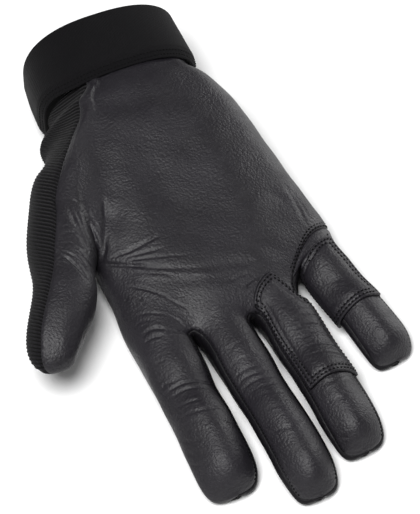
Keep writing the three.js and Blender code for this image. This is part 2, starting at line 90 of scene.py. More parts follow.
FINGERS = table(
    "name root breadth length depth down splay",
    ("index", 0.268, 0.985, 0.85, 1.0, 0.955, 3.7),
    ("middle", 0.255, 0.97, 0.962, 1.0, 0.975, 6.95),
    ("ring", 0.257, 0.945, 0.87, 0.95, 0.935, 7.55),
    ("little", 0.238, 0.925, 0.69, 0.86, 0.78, 14.2),
)
SLITS = table(
    "front back aside sag", (1.0, 0.93, 0, 0.012), (1.003, 0.93, 0, 0.012), (0.91, 0.82, -0.07, 0.14))
SLIT_FRONT, SLIT_BACK, SLIT_LOWEST = 0.88, 0.26, 0.5
KNUCKLE_HEIGHT, KNUCKLE_STEP = 1.07, 0.058
KNUCKLE_CORNERS = table(
    "finger palm side back",  # each inwards, nearer the cuff, and high
    ("index", (0.1, 0.047, 0.8), (-0.012, 0.07, 0.5), (0.12, 0.07, 0.14)),
    ("little", (0.1, 0.058, 0.835), (-0.01, 0.081, 0.52), (0.12, 0.07, 0.16)),
)
FINGER_SECTIONS = table(
    "along breadth depth seam side back crease",
    (0.12, 0.95, 1.02, 36, -2, -44, 0),
    (0.25, 0.94, 1.02, 29, -4, -45, 0.4),
    (0.4, 0.93, 0.97, 23, -8, -47, 0.8),
    (0.56, 0.94, 1.0, 19, -11, -49, 0),
    (0.74, 0.95, 0.94, 14, -14, -51, 0.3),
    (0.88, 0.93, 0.82, 4, -22, -56, 0),
    (0.965, 0.72, 0.56, -14, -36, -62, 0),
)
TIP_HEIGHT = 0.28
# The walls beside the first two slits lean in, up to this height
WALL_LEAN, LEAN_BELOW, LEANING_SLITS = 0.93, 0.5, (0, 1)
# Sections of the hand; fill raises the palm beside the root of the thumb
HAND_SECTIONS = table(
    "along radial ulnar side top back hollow seam valley fill",
    (-0.04, -0.427, 0.262, 0.51, 1.0, 0.1, 0, -0.48, 0, 0),
    (0.015, -0.432, 0.266, 0.51, 1.01, 0.1, 0, -0.48, 0, 0),
    (0.07, -0.503, 0.308, 0.5, 1.04, 0.01, 0, -0.5, 0, 0),
    (0.15, -0.506, 0.346, 0.5, 1.05, 0, 0.01, -0.57, 0, 0.02),
    (0.27, -0.54, 0.387, 0.47, 1.04, 0, 0.05, -0.68, 0, 0.11),
    (0.41, -0.54, 0.416, 0.45, 0.99, 0, 0.09, -0.74, 0, 0.16),
    (0.55, -0.52, 0.441, 0.41, 0.92, 0, 0.1, -0.8, 0, 0.14),
    (0.68, -0.5, 0.465, 0.38, 0.84, 0, 0.07, -0.84, 0, 0.05),
    (0.79, -0.49, 0.487, 0.36, 0.77, 0, 0.03, -0.86, 0.01, 0),
    (0.9, -0.485, 0.508, 0.34, 0.7, 0, 0, -0.88, 0.05, 0),
)
# Where the palm and the back begin and end, and where the bowl of the palm lies, as shares of
# the half breadth
PALM_EDGE, BACK_EDGE = 0.84, -0.8
BOWL_AT, BOWL_REACH = -0.05, 0.45
# Rows of the hand between which the thumb is set in
THUMB_FIRST, THUMB_LAST = 3, 7
THUMB_SECTIONS = table(
    "x y z heading breadth depth seam",
    (-0.7, 0.45, 0.3, 76, 1.62, 1.16, 105),
    (-0.767, 0.31, 0.34, 60, 1.3, 1.02, 98),
    (-0.843, 0.12, 0.36, 44, 1.08, 0.93, 98),
    (-0.88, -0.06, 0.365, 33, 0.95, 0.88, 109),
    (-0.956, -0.215, 0.365, 29, 0.875, 0.83, 113),
    (-1.044, -0.355, 0.36, 27, 0.785, 0.72, 113),
    (-1.1, -0.47, 0.355, 26, 0.63, 0.5, 114),
)
THUMB_TIP = (-1.148, -0.55, 0.35)

# Patches: finger, the columns of its net at the two long edges, and its rows at the two ends;
# the end near the palm lies at one row on the front and at another on the side
PATCHES = table(
    "name finger left left_end right front_top side_top turn bottom",
    ("ring_finger_patch", "ring", 0.16, 0.2, 2.5, -0.45, 0.9, (1.1, 1.9), 4.3),
    ("little_finger_patch", "little", 7, 7, 9.85, 0.5, 1.0, (8.3, 7.5), 4.2),
)

# Creases and folds of the leather by the pixels of the photograph that they pass, with the
# half width and depth of each in millimetres
CREASES = table(
    "start middle end width depth",
    # Fold between the ball of the thumb and the palm
    ((103, 194), (105, 230), (100, 268), 1.3, 1.5),
    ((111, 200), (112, 232), (106, 262), 3.4, 1.0),
    # Edge of the leather where it comes out from under the band
    ((96, 76), (94, 92), (94, 104), 0.8, 0.6),
    # Creases that run into the palm from the web
    ((101, 264), (124, 265), (150, 266), 0.8, 0.8),
    ((128, 266), (170, 268), (214, 267), 1.4, 0.6),
    ((106, 262), (124, 272), (140, 280), 3.0, 0.5),
    ((196, 268), (236, 263), (268, 261), 2.4, 0.5),
    ((150, 279), (200, 279), (246, 276), 2.8, 0.5),
    ((108, 258), (134, 249), (162, 233), 0.68, 0.56),
    ((114, 261), (142, 253), (170, 246), 0.6, 0.36),
    ((118, 263), (154, 257), (192, 255), 0.6, 0.32),
    ((124, 250), (142, 243), (158, 236), 0.55, 0.24),
    ((126, 286), (148, 290), (172, 299), 0.6, 0.48),
    ((126, 291), (140, 298), (150, 306), 0.6, 0.32),
    ((164, 297), (176, 303), (190, 310), 0.6, 0.32),
    ((128, 274), (156, 273), (184, 277), 0.68, 0.28),
    # Soft fold below the wrist and soft hollows of the palm
    ((84, 112), (140, 98), (206, 104), 5.5, 0.7),
    ((236, 208), (264, 193), (292, 206), 2.2, 0.4),
    ((282, 181), (296, 202), (306, 226), 0.9, 0.4),
    ((290, 186), (303, 207), (312, 222), 0.68, 0.28),
    ((226, 282), (238, 277), (250, 272), 0.68, 0.36),
    ((244, 292), (252, 284), (266, 278), 0.68, 0.48),
    ((238, 243), (262, 246), (284, 243), 3.2, 0.45),
    # Wrinkled flap over the joint of the thumb
    ((70, 200), (79, 203), (89, 205), 0.6, 0.36),
    ((74, 206), (84, 229), (97, 257), 0.6, 0.32),
    ((78, 206), (90, 226), (101, 249), 0.55, 0.24),
    ((84, 207), (94, 221), (102, 238), 0.55, 0.2),
    ((70, 211), (80, 232), (91, 257), 1.05, 0.36),
    ((68, 204), (72, 214), (77, 224), 0.75, 0.16),
    ((86, 238), (92, 250), (96, 262), 0.55, 0.18),
    # Folds across the thumb
    ((60, 236), (72, 232), (84, 240), 0.6, 0.36),
    ((61, 229), (70, 226), (79, 232), 0.55, 0.24),
    ((59, 245), (72, 243), (86, 252), 0.6, 0.24),
    ((59, 254), (74, 264), (90, 284), 0.6, 0.88),
    ((62, 251), (78, 259), (92, 277), 0.55, 0.64),
    ((68, 249), (80, 254), (94, 270), 0.55, 0.48),
    # Dark line beside the root of the index finger
    ((100, 270), (103, 286), (111, 306), 0.55, 0.64),
    # Root of the index finger
    ((134, 317), (150, 313), (166, 316), 0.6, 0.29),
    ((162, 313), (176, 320), (188, 331), 0.6, 0.32),
    ((142, 338), (152, 329), (168, 330), 0.68, 0.58),
    ((164, 330), (180, 332), (192, 336), 0.6, 0.38),
    ((143, 345), (152, 338), (164, 336), 0.68, 0.45),
    ((136, 325), (144, 321), (154, 320), 0.55, 0.19),
    # Joint of the index finger
    ((160, 391), (167, 384), (178, 381), 0.6, 0.26),
    ((167, 394), (184, 383), (204, 382), 0.6, 0.57),
    ((200, 382), (209, 383), (217, 387), 0.6, 0.36),
    ((170, 400), (187, 389), (207, 388), 0.55, 0.42),
    ((174, 410), (189, 402), (206, 399), 0.6, 0.36),
    ((203, 402), (212, 406), (223, 408), 0.6, 0.31),
    ((177, 421), (196, 411), (222, 408), 0.6, 0.36),
    ((176, 431), (190, 423), (204, 420), 0.6, 0.21),
    ((174, 440), (186, 442), (202, 440), 0.68, 0.36),
    ((178, 449), (192, 455), (208, 456), 0.6, 0.26),
    ((188, 464), (199, 466), (210, 463), 0.6, 0.26),
    ((156, 364), (160, 362), (166, 361), 0.68, 0.16),
    ((222, 422), (230, 424), (238, 428), 0.75, 0.31),
    ((232, 440), (240, 444), (248, 450), 0.9, 0.26),
    # Joint of the middle finger
    ((229, 353), (236, 344), (250, 341), 0.83, 0.18),
    ((230, 366), (242, 358), (258, 357), 0.75, 0.12),
    ((234, 384), (244, 370), (266, 364), 0.6, 0.26),
    ((237, 390), (246, 377), (270, 370), 0.6, 0.31),
    ((241, 395), (252, 382), (276, 376), 0.55, 0.31),
    ((247, 398), (258, 388), (278, 383), 0.55, 0.22),
    ((258, 396), (272, 392), (288, 393), 0.6, 0.15),
    ((262, 410), (278, 405), (294, 404), 0.68, 0.13),
    ((266, 433), (284, 428), (304, 422), 0.83, 0.26),
    ((282, 462), (296, 459), (310, 460), 0.83, 0.13),
    ((292, 487), (301, 489), (311, 487), 0.6, 0.22),
    ((288, 479), (296, 480), (305, 478), 0.55, 0.15),
    # Across the patch of the ring finger
    ((281, 303), (292, 300), (306, 303), 0.6, 0.25),
    ((285, 314), (300, 309), (314, 311), 0.6, 0.31),
    ((289, 324), (304, 318), (320, 320), 0.6, 0.34),
    ((293, 333), (308, 327), (326, 330), 0.6, 0.39),
    ((299, 342), (314, 336), (331, 340), 0.6, 0.34),
    ((304, 351), (319, 346), (335, 349), 0.6, 0.34),
    ((309, 359), (324, 354), (340, 357), 0.6, 0.28),
    # Ring finger beyond the patch, and the folds at its tip
    ((318, 386), (334, 380), (352, 376), 0.75, 0.24),
    ((322, 402), (340, 398), (358, 394), 1.05, 0.14),
    ((338, 437), (345, 438), (352, 436), 0.55, 0.22),
    ((342, 445), (350, 446), (358, 443), 0.55, 0.24),
    ((347, 451), (356, 452), (364, 449), 0.55, 0.19),
    # Little finger
    ((304, 252), (318, 243), (330, 240), 0.75, 0.32),
    ((312, 290), (330, 282), (348, 280), 1.6, 0.3),
    ((326, 312), (340, 302), (356, 298), 1.05, 0.24),
    ((366, 330), (380, 322), (396, 316), 1.6, 0.25),
)
# Height of the lips beside a narrow crease, a factor on all depths, and how uneven they are
CREASE_LIP, WIDE, CREASE_SHARE, UNEVEN = 0.2, 1.2, 0.72, 0.25
# Shares of its length over which a crease, or a stitched row, fades in and out
CREASE_FADE, ROW_FADE = 0.3, 0.05
# Height of the slow waves of the leather in millimetres
WAVE_HEIGHT = 0.07


def rounded(angle):
    """Point of a rounded section of unit half-width at an angle above its right side"""
    c, s = math.cos(math.radians(angle)), math.sin(math.radians(angle))
    r = (abs(c) ** ROUNDNESS + abs(s) ** ROUNDNESS) ** (-1 / ROUNDNESS)
    return c * r, s * r


def smoothstep(low, high, x):
    t = np.clip((np.asarray(x, float) - low) / (high - low), 0, 1)
    return t * t * (3 - 2 * t)


class Net:
    """Faces of four corners; each knows its region and the column and row of its corners"""

    def __init__(self):
        self.points, self.faces, self.regions, self.places = [], [], [], []

    def add(self, x, y, z):
        self.points.append((x, y, z))
        return len(self.points) - 1

    def band(self, region, upper, lower, row, skip=()):
        n = len(upper)
        for k in range(n):
            if k in skip:
                continue
            m = (k + 1) % n
            self.faces.append((upper[k], lower[k], lower[m], upper[m]))
            self.places.append(((k, row), (k, row + 1), (k + 1, row + 1), (k + 1, row)))
            self.regions.append(region)

    def tip(self, region, ring, tip, row):
        for k in range(0, len(ring), 2):
            self.faces.append((ring[k], tip, ring[(k + 2) % len(ring)], ring[k + 1]))
            self.places.append(((k, row), (k + 1, row + 1), (k + 2, row), (k + 1, row)))
            self.regions.append(region)


def finger_roots():
    """Sizes of each finger in millimetres, and the edges between their roots"""
    edges, fingers = [RADIAL_X], []
    for f in FINGERS:
        breadth = f.root * PALM_BREADTH
        fingers.append(SimpleNamespace(
            name=f.name, width=breadth, breadth=breadth * f.breadth, depth=f.depth * FINGER_DEPTH,
            length=f.length * FINGER_LENGTH, x=edges[-1] + breadth / 2,
            y=SEAM_Y - f.down * HAND_LENGTH, splay=math.radians(f.splay)))
        edges.append(edges[-1] + breadth)
    return fingers, edges


def knuckle_lines(fingers, edges):
    """Points round the roots of the fingers: on the palm, at both sides and on the back"""
    def corner(at_index, place):
        f = fingers[0] if at_index else fingers[-1]
        inwards, step, height = place
        x = edges[0] + inwards * f.width if at_index else edges[-1] - inwards * f.width
        return x, f.y + step * FINGER_LENGTH, height * f.depth

    index, little = KNUCKLE_CORNERS
    palm, back = [corner(True, index.palm)], [corner(True, index.back)]
    for i, f in enumerate(fingers):
        palm.append((f.x, f.y, KNUCKLE_HEIGHT * f.depth))
        back.append((f.x, f.y + KNUCKLE_STEP * FINGER_LENGTH, 0))
        if i < len(SLITS):
            x = edges[i + 1] + SLITS[i].aside * fingers[2].width
            palm.append((x, SEAM_Y - SLITS[i].front * HAND_LENGTH, SLIT_FRONT * f.depth))
            back.append((x, SEAM_Y - SLITS[i].back * HAND_LENGTH, SLIT_BACK * f.depth))
    palm.append(corner(False, little.palm))
    back.append(corner(False, little.back))
    return palm, back, corner(True, index.side), corner(False, little.side)


def hand_ring(net, s, knuckles, edges, palm_columns):
    """Adds one section of the hand between the cuff and the knuckles"""
    columns = len(knuckles)
    left, right, side = s.radial * PALM_BREADTH, s.ulnar * PALM_BREADTH, s.side * WRIST_DEPTH
    blend = min(max(s.along, 0), 1) ** 1.2
    ring = []
    for k, knuckle in enumerate(knuckles):
        if k in (0, palm_columns + 1):
            x, z = (left if k == 0 else right), side
        else:
            on_palm = k <= palm_columns
            column = k - 1 if on_palm else columns - 1 - k
            seam = s.seam if on_palm else BACK_EDGE
            even = seam + (PALM_EDGE - seam) * column / (palm_columns - 1)
            at_fingers = (knuckles[column + 1][0] - edges[0]) / (edges[4] - edges[0]) * 2 - 1
            share = even * (1 - blend) + at_fingers * blend
            x = left + (share + 1) / 2 * (right - left)
            bowl = s.hollow * math.exp(-(((share - BOWL_AT) / BOWL_REACH) ** 2))
            to_slit = column % 2 == 0 and 0 < column < palm_columns - 1
            dip = (bowl + (s.valley if to_slit else 0)) * WRIST_DEPTH
            if on_palm:
                arch = (1 - abs(share) ** PALM_ARCH) ** (1 / PALM_ARCH)
                z = side + (s.top * WRIST_DEPTH - side) * arch - dip
                z += s.fill * WRIST_DEPTH if column == 0 else 0
            else:
                arch = (1 - abs(share) ** BACK_ARCH) ** (1 / BACK_ARCH)
                z = side + (s.back * WRIST_DEPTH - side) * arch
        start = SEAM_Y + CUFF_SLANT * x / PALM_BREADTH
        reach = -HAND_LENGTH if s.along <= 0.02 else knuckle[1] - start
        ring.append(net.add(x, start + reach * s.along, z))
    return ring


def add_fingers(net, fingers, last, crotches, palm_columns):
    columns = len(last)
    for i, f in enumerate(fingers):
        p = 2 * i
        left = last[0] if i == 0 else crotches[i - 1]
        right = last[palm_columns + 1] if i == len(fingers) - 1 else crotches[i]
        back = columns - 1 - p
        ring = [last[p + 1], last[p + 2], last[p + 3], right,
                last[back - 2], last[back - 1], last[back], left]
        along = np.array([math.sin(f.splay), -math.cos(f.splay), 0])
        aside = np.array([math.cos(f.splay), math.sin(f.splay), 0])
        root = np.array([f.x, f.y, 0])
        for row, s in enumerate(FINGER_SECTIONS):
            angles = (180 - s.seam, 90, s.seam, s.side, s.back, -90, 180 - s.back, 180 - s.side)
            section = []
            for c, h in map(rounded, angles):
                slit = i - 1 if c < 0 else i
                c *= WALL_LEAN if slit in LEANING_SLITS and h < LEAN_BELOW else 1
                p3 = root + along * f.length * s.along + aside * c * f.breadth * s.breadth / 2
                z = f.depth * s.depth / 2 * (1 + h) - max(h, 0) * s.crease * FOLD_DEPTH
                section.append(net.add(p3[0], p3[1], z))
            net.band(f.name, ring, section, row)
            ring = section
        tip = root + along * f.length
        net.tip(f.name, ring, net.add(tip[0], tip[1], TIP_HEIGHT * f.depth), len(FINGER_SECTIONS))


def add_thumb(net, rings):
    rows = range(THUMB_FIRST, THUMB_LAST + 1)
    ring = [rings[j][1] for j in rows] + [rings[THUMB_LAST][0]]
    ring += [rings[j][-1] for j in reversed(rows)] + [rings[THUMB_FIRST][0]]
    half = len(ring) // 2
    for row, s in enumerate(THUMB_SECTIONS):
        heading = math.radians(s.heading)
        aside = np.array([math.cos(heading), -math.sin(heading), 0])
        centre = np.array([s.x, s.y, s.z]) * THUMB_REACH
        section = []
        for k in range(len(ring)):
            leather = s.seam + (WEB_ANGLE - s.seam) * k / half
            knit = WEB_ANGLE + (s.seam - 360 - WEB_ANGLE) * (k - half) / half
            c, h = rounded(leather if k <= half else knit)
            p = centre + aside * c * THUMB_BREADTH * s.breadth / 2
            section.append(net.add(p[0], p[1], centre[2] + h * THUMB_BREADTH * s.depth / 2))
        net.band("thumb", ring, section, row)
        ring = section
    net.tip("thumb", ring, net.add(*(v * THUMB_REACH for v in THUMB_TIP)), len(THUMB_SECTIONS))


def build_net():
    net = Net()
    fingers, edges = finger_roots()
    palm, back, thumb_side, outer_side = knuckle_lines(fingers, edges)
    knuckles = [thumb_side, *palm, outer_side, *reversed(back)]
    rings = [hand_ring(net, s, knuckles, edges, len(palm)) for s in HAND_SECTIONS]
    rings.append([net.add(*p) for p in knuckles])
    crotches = []
    for i, slit in enumerate(SLITS):
        front, rear = np.array(palm[2 * i + 2]), np.array(back[2 * i + 2])
        x, y, _ = (front + rear) / 2
        crotches.append(net.add(x, y - slit.sag * FINGER_LENGTH, SLIT_LOWEST * FINGER_DEPTH))
    for j in range(len(rings) - 1):
        hole = (0, len(knuckles) - 1) if THUMB_FIRST <= j < THUMB_LAST else ()
        net.band("hand", rings[j], rings[j + 1], j, hole)
    add_fingers(net, fingers, rings[-1], crotches, len(palm))
    add_thumb(net, rings)
    return net, len(knuckles), len(palm)


def edges_of(faces):
    """Edges of four-sided faces, the edge after each corner, and how many faces share it"""
    sides = np.sort(np.stack([faces, np.roll(faces, -1, 1)], -1).reshape(-1, 2), 1)
    key = sides[:, 0].astype(np.int64) << 32 | sides[:, 1]
    _, first, inverse, shared = np.unique(
        key, return_index=True, return_inverse=True, return_counts=True)
    return sides[first], inverse.reshape(faces.shape), shared


def sum_at(count, index, values):
    out = np.zeros((count, values.shape[1]))
    for axis in range(values.shape[1]):
        out[:, axis] = np.bincount(index, values[:, axis], count)
    return out


def set_rim(out, points, edges, shared, weight):
    """Places the points of the open rim by the rim alone"""
    rim = edges[shared == 1]
    rim = np.concatenate([rim, rim[:, ::-1]])
    beside = sum_at(len(points), rim[:, 0], points[rim[:, 1]])
    on_rim = np.bincount(rim[:, 0], minlength=len(points)) > 0
    out[on_rim] = (weight * points[on_rim] + beside[on_rim]) / (weight + 2)


def smooth_places(points, faces):
    """Places where the smooth surface of the net comes to lie"""
    n = len(points)
    edges, _, shared = edges_of(faces)
    both = np.concatenate([edges, edges[:, ::-1]])
    valence = np.bincount(both[:, 0], minlength=n)[:, None]
    ring = sum_at(n, both[:, 0], points[both[:, 1]])
    far = sum_at(n, faces.ravel(), points[np.roll(faces, -2, 1)].reshape(-1, 3))
    total = np.maximum(valence * (valence + 5), 1)
    out = np.where(valence > 0, (valence ** 2 * points + 4 * ring + far) / total, points)
    set_rim(out, points, edges, shared, 4)
    return out


def drawn_through(places, faces, passes=5, pace=0.9):
    """Moves the net's points so that its smooth surface passes through the given places"""
    points = places.copy()
    for _ in range(passes):
        points += (places - smooth_places(points, faces)) * pace
    return points


def halved(points, faces, places):
    """Splits every face into four; points keep their numbers"""
    n = len(points)
    edges, edge_at, shared = edges_of(faces)
    centres = points[faces].mean(1)
    middles = points[edges].mean(1)
    beside = sum_at(len(edges), edge_at.ravel(), np.repeat(centres, 4, 0))
    inner = (shared == 2)[:, None]
    edge_points = np.where(inner, (middles * 2 + beside) / 4, middles)
    both = np.concatenate([edges, edges[:, ::-1]])
    valence = np.maximum(np.bincount(both[:, 0], minlength=n), 1)[:, None]
    around = sum_at(n, both[:, 0], np.concatenate([middles, middles])) / valence
    face_count = np.maximum(np.bincount(faces.ravel(), minlength=n), 1)[:, None]
    across = sum_at(n, faces.ravel(), np.repeat(centres, 4, 0)) / face_count
    moved = (across + 2 * around + (valence - 3) * points) / valence
    unused = np.bincount(faces.ravel(), minlength=n) == 0
    moved[unused] = points[unused]
    set_rim(moved, points, edges, shared, 6)
    centre_at = n + len(edges) + np.arange(len(faces))
    middle_place = (places + np.roll(places, -1, 1)) / 2
    centre_place = places.mean(1)
    split_faces, split_places = [], []
    for i in range(4):
        before = (i + 3) % 4
        split_faces.append(np.stack(
            [faces[:, i], n + edge_at[:, i], centre_at, n + edge_at[:, before]], 1))
        split_places.append(np.stack(
            [places[:, i], middle_place[:, i], centre_place, middle_place[:, before]], 1))
    return (np.concatenate([moved, edge_points, centres]),
            np.stack(split_faces, 1).reshape(-1, 4),
            np.stack(split_places, 1).reshape(-1, 4, 2))


def normals_of(points, faces, passes=0, weight=0.25):
    """Outward direction at every point, evened out over its neighbours in some passes"""
    a, b, c, d = (points[faces[:, i]] for i in range(4))
    flat = np.cross(c - a, d - b)
    out = sum_at(len(points), faces.ravel(), np.repeat(flat, 4, 0))
    out /= np.maximum(np.linalg.norm(out, axis=1), 1e-9)[:, None]
    for _ in range(passes):
        out += weight * sum_at(len(points), faces.ravel(), out[np.roll(faces, -1, 1).ravel()])
        out /= np.maximum(np.linalg.norm(out, axis=1), 1e-9)[:, None]
    return out


# Levels of the net: the inner side, the side that lines are laid on, the skin, its finest parts
INNER, LINES, SKIN, FINEST = 2, 3, 4, 5


class Skin:
    """Smooth surface of the whole glove, at several levels of one net"""

    def __init__(self):
        net, self.hand_columns, self.palm_columns = build_net()
        self.regions = net.regions
        faces, places = np.array(net.faces), np.array(net.places, float)
        self.whole = [(r, int(p[:, 0].min()), int(p[:, 1].min())) for r, p in zip(net.regions, places)]
        points = drawn_through(np.array(net.points, float), faces)
        self.faces, self.places = [faces], [places]
        for _ in range(FINEST):
            points, faces, places = halved(points, faces, places)
            self.faces.append(faces)
            self.places.append(places)
        self.skin_edges = edges_of(self.faces[SKIN])
        self.first_edge_point = self.faces[SKIN].max() + 1
        self.points = smooth_places(points, faces)
        self.points[:, 2] = np.maximum(self.points[:, 2] - SETTLE, 0)
        self.points += self.shift()
        self.normals = normals_of(self.points, faces)
        inner = self.faces[INNER]
        self.inner_normals = normals_of(self.points[:inner.max() + 1], inner, 4)
        lines, step = self.faces[LINES], 2 ** LINES
        keys = np.rint(self.places[LINES] * step).astype(int)
        self.at_place = {}
        per_face = 4 ** LINES
        for i, (corners, key) in enumerate(zip(lines.tolist(), keys.tolist())):
            region = self.regions[i // per_face]
            for corner, (u, v) in zip(corners, key):
                self.at_place[region, u, v] = corner
        self.bvh = BVHTree.FromPolygons(
            [tuple(p) for p in self.points[:lines.max() + 1]], lines.tolist())

    def shift(self):
        """From the net's own frame to the part's, told by the cuff"""
        low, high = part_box("cuff_band")
        wrist = HAND_SECTIONS[1]
        self.wrist_x = (wrist.ulnar + wrist.radial) * PALM_BREADTH / 2
        half = (wrist.ulnar - wrist.radial) * PALM_BREADTH / 2
        top = CUFF_SECTIONS[-1]
        reach = self.wrist_x + half * top.breadth - top.lean * PALM_BREADTH
        top_y = SEAM_Y + CUFF_TOP_SLANT * reach / PALM_BREADTH + CUFF_HEIGHT
        self.offset = np.array([(low.x + high.x) / 2 / MM - self.wrist_x, high.y / MM - top_y, 0])
        return self.offset

    def on_net(self, region, u, v):
        """Point and outward direction at a column and row of a region"""
        step = 2 ** LINES
        if region in FINGER_NAMES and v < 0:
            first = 1 + 2 * FINGER_NAMES.index(region)
            region, u, v = "hand", first + u, len(HAND_SECTIONS) + v
        columns = FINGER_COLUMNS if region in FINGER_NAMES else 2 * THUMB_HALF
        columns = self.hand_columns if region == "hand" else columns
        gu, gv = (u % columns) * step, v * step
        u0, v0 = math.floor(gu), math.floor(gv)
        fu, fv = gu - u0, gv - v0
        point, normal = np.zeros(3), np.zeros(3)
        for du, dv, w in ((0, 0, (1 - fu) * (1 - fv)), (1, 0, fu * (1 - fv)),
                          (0, 1, (1 - fu) * fv), (1, 1, fu * fv)):
            if w < 1e-9:
                continue
            i = self.at_place[region, u0 + du, v0 + dv]
            point += self.points[i] * w
            normal += self.normals[i] * w
        return point, normal / np.linalg.norm(normal)

    def at_pixel(self, x, y):
        """Point of the skin that the photograph shows at a pixel"""
        right, up, back = camera_axes()
        focal = LENS / SENSOR * PHOTO_HEIGHT
        way = -back + right * (x - PHOTO_WIDTH / 2) / focal + up * (PHOTO_HEIGHT / 2 - y) / focal
        hit = self.bvh.ray_cast(Vector(AIM + back * DISTANCE), Vector(way).normalized())[0]
        return None if hit is None else np.array(hit)


def camera_axes():
    """The camera's directions to the right, up and back in the part's frame"""
    right = np.array([math.cos(AZIMUTH), math.sin(AZIMUTH), 0])
    up = np.array([-math.sin(AZIMUTH) * math.sin(ELEVATION),
                   math.cos(AZIMUTH) * math.sin(ELEVATION), math.cos(ELEVATION)])
    back = np.array([math.sin(AZIMUTH) * math.cos(ELEVATION),
                     -math.cos(AZIMUTH) * math.cos(ELEVATION), math.sin(ELEVATION)])
    return right, up, back


FINGER_NAMES = [f.name for f in FINGERS]
FINGER_COLUMNS = 8
# Columns of the thumb's leather, which are half of all its columns
THUMB_HALF = THUMB_LAST - THUMB_FIRST + 2
CUFF_SECTIONS = table(
    "rise breadth depth lean",
    (0, 0.99, 1.002, 0),
    (0.2, 0.99, 1.01, 0),
    (0.6, 0.978, 1.05, 0.001),
    (1, 0.952, 1.1, 0.003),
)


def piece_of(region, u, v, skin):
    """Name of the piece that a face of the net belongs to"""
    if region == "hand":
        if 1 <= u < skin.palm_columns + 2:
            return "palm_panel"
        radial = u in (0, skin.hand_columns - 1)
        return "palm_panel" if radial and v >= THUMB_LAST else "back_panel"
    if region == "thumb":
        return "palm_panel" if u < THUMB_HALF else "back_panel"
    i = FINGER_NAMES.index(region)
    if 4 <= u < 6:
        return "back_panel"
    if 2 <= u < 4 and i < 3:
        return f"fourchette_{region}_{FINGER_NAMES[i + 1]}"
    if u >= 6 and i > 0:
        return f"fourchette_{FINGER_NAMES[i - 1]}_{region}"
    return "little_finger_front" if i == 3 else "palm_panel"


def detail_of(region, u, v, piece, skin):
    """How finely a face of the net is split: whole, halved along its rows, or in four"""
    if piece == "back_panel":
        strip = region == "hand" and u in (0, skin.hand_columns - 1, skin.hand_columns - 2)
        outer = region == "thumb" and u >= THUMB_HALF + 2
        return 2 if (strip and v < THUMB_LAST) or outer else 0
    if piece == "palm_panel":
        if region == "hand":
            return 1 if v >= 6 and u < 6 else 0
        rows = len(THUMB_SECTIONS) if region == "thumb" else len(FINGER_SECTIONS)
        return 1 if v < rows and not (region == "index" and u >= 6) else 0
    return 0


def children(chosen, level):
    """Numbers of the faces that the chosen faces of the net are split into at a level"""
    return (np.array(chosen)[:, None] * 4 ** level + np.arange(4 ** level)).ravel()


def polygons_of(skin, chosen, detail):
    """Faces of the chosen faces of the net, with the points that finer neighbours need"""
    index = children(chosen, SKIN)
    modes = np.repeat([detail[i] for i in chosen], 4 ** SKIN)
    coarse = skin.faces[SKIN]
    _, edge_at, _ = skin.skin_edges
    corners, sides = coarse[index], edge_at[index]
    place = skin.places[SKIN][index]
    run = np.abs(np.roll(place, -1, 1) - place)
    lengthwise = run[:, :, 1] > run[:, :, 0]
    split = (modes == 2)[:, None] | ((modes == 1)[:, None] & lengthwise)
    marked = np.zeros(len(skin.skin_edges[0]), bool)
    marked[sides[split]] = True
    polygons = []
    for face, side, along, mode, i in zip(
            corners.tolist(), sides.tolist(), lengthwise.tolist(), modes.tolist(), index.tolist()):
        if mode == 2:
            polygons += skin.faces[FINEST][4 * i:4 * i + 4].tolist()
            continue
        loop = []
        for n in range(4):
            loop.append(face[n])
            if marked[side[n]]:
                loop.append(skin.first_edge_point + side[n])
        if mode == 1:
            cuts = [skin.first_edge_point + side[n] for n in range(4) if along[n]]
            a, b = sorted(loop.index(c) for c in cuts)
            polygons += [loop[a:b + 1], loop[b:] + loop[:a + 1]]
        else:
            polygons.append(loop)
    return polygons


def rims_of(polygons):
    """Edges with a face on one side only, as a map from each point to the next"""
    beside = set()
    for loop in polygons:
        beside.update(zip(loop, loop[1:] + loop[:1]))
    return {a: b for a, b in beside if (b, a) not in beside}


def passed_along(path):
    """Length of a path passed at each of its points"""
    return np.concatenate([[0], np.cumsum(np.linalg.norm(np.diff(path, axis=0), axis=1))])


def distance_to_path(points, path):
    """Distance of each point to a path, and the share of the path passed at the nearest place"""
    start, step = path[:-1], path[1:] - path[:-1]
    length, passed = np.linalg.norm(step, axis=1), passed_along(path)
    best = np.full(len(points), np.inf)
    share = np.zeros(len(points))
    for a, s, l, before in zip(start, step, length, passed):
        if l == 0:
            continue
        t = np.clip((points - a) @ s / l ** 2, 0, 1)
        d = np.linalg.norm(points - a - t[:, None] * s, axis=1)
        closer = d < best
        best[closer] = d[closer]
        share[closer] = (before + t[closer] * l) / passed[-1]
    return best, share


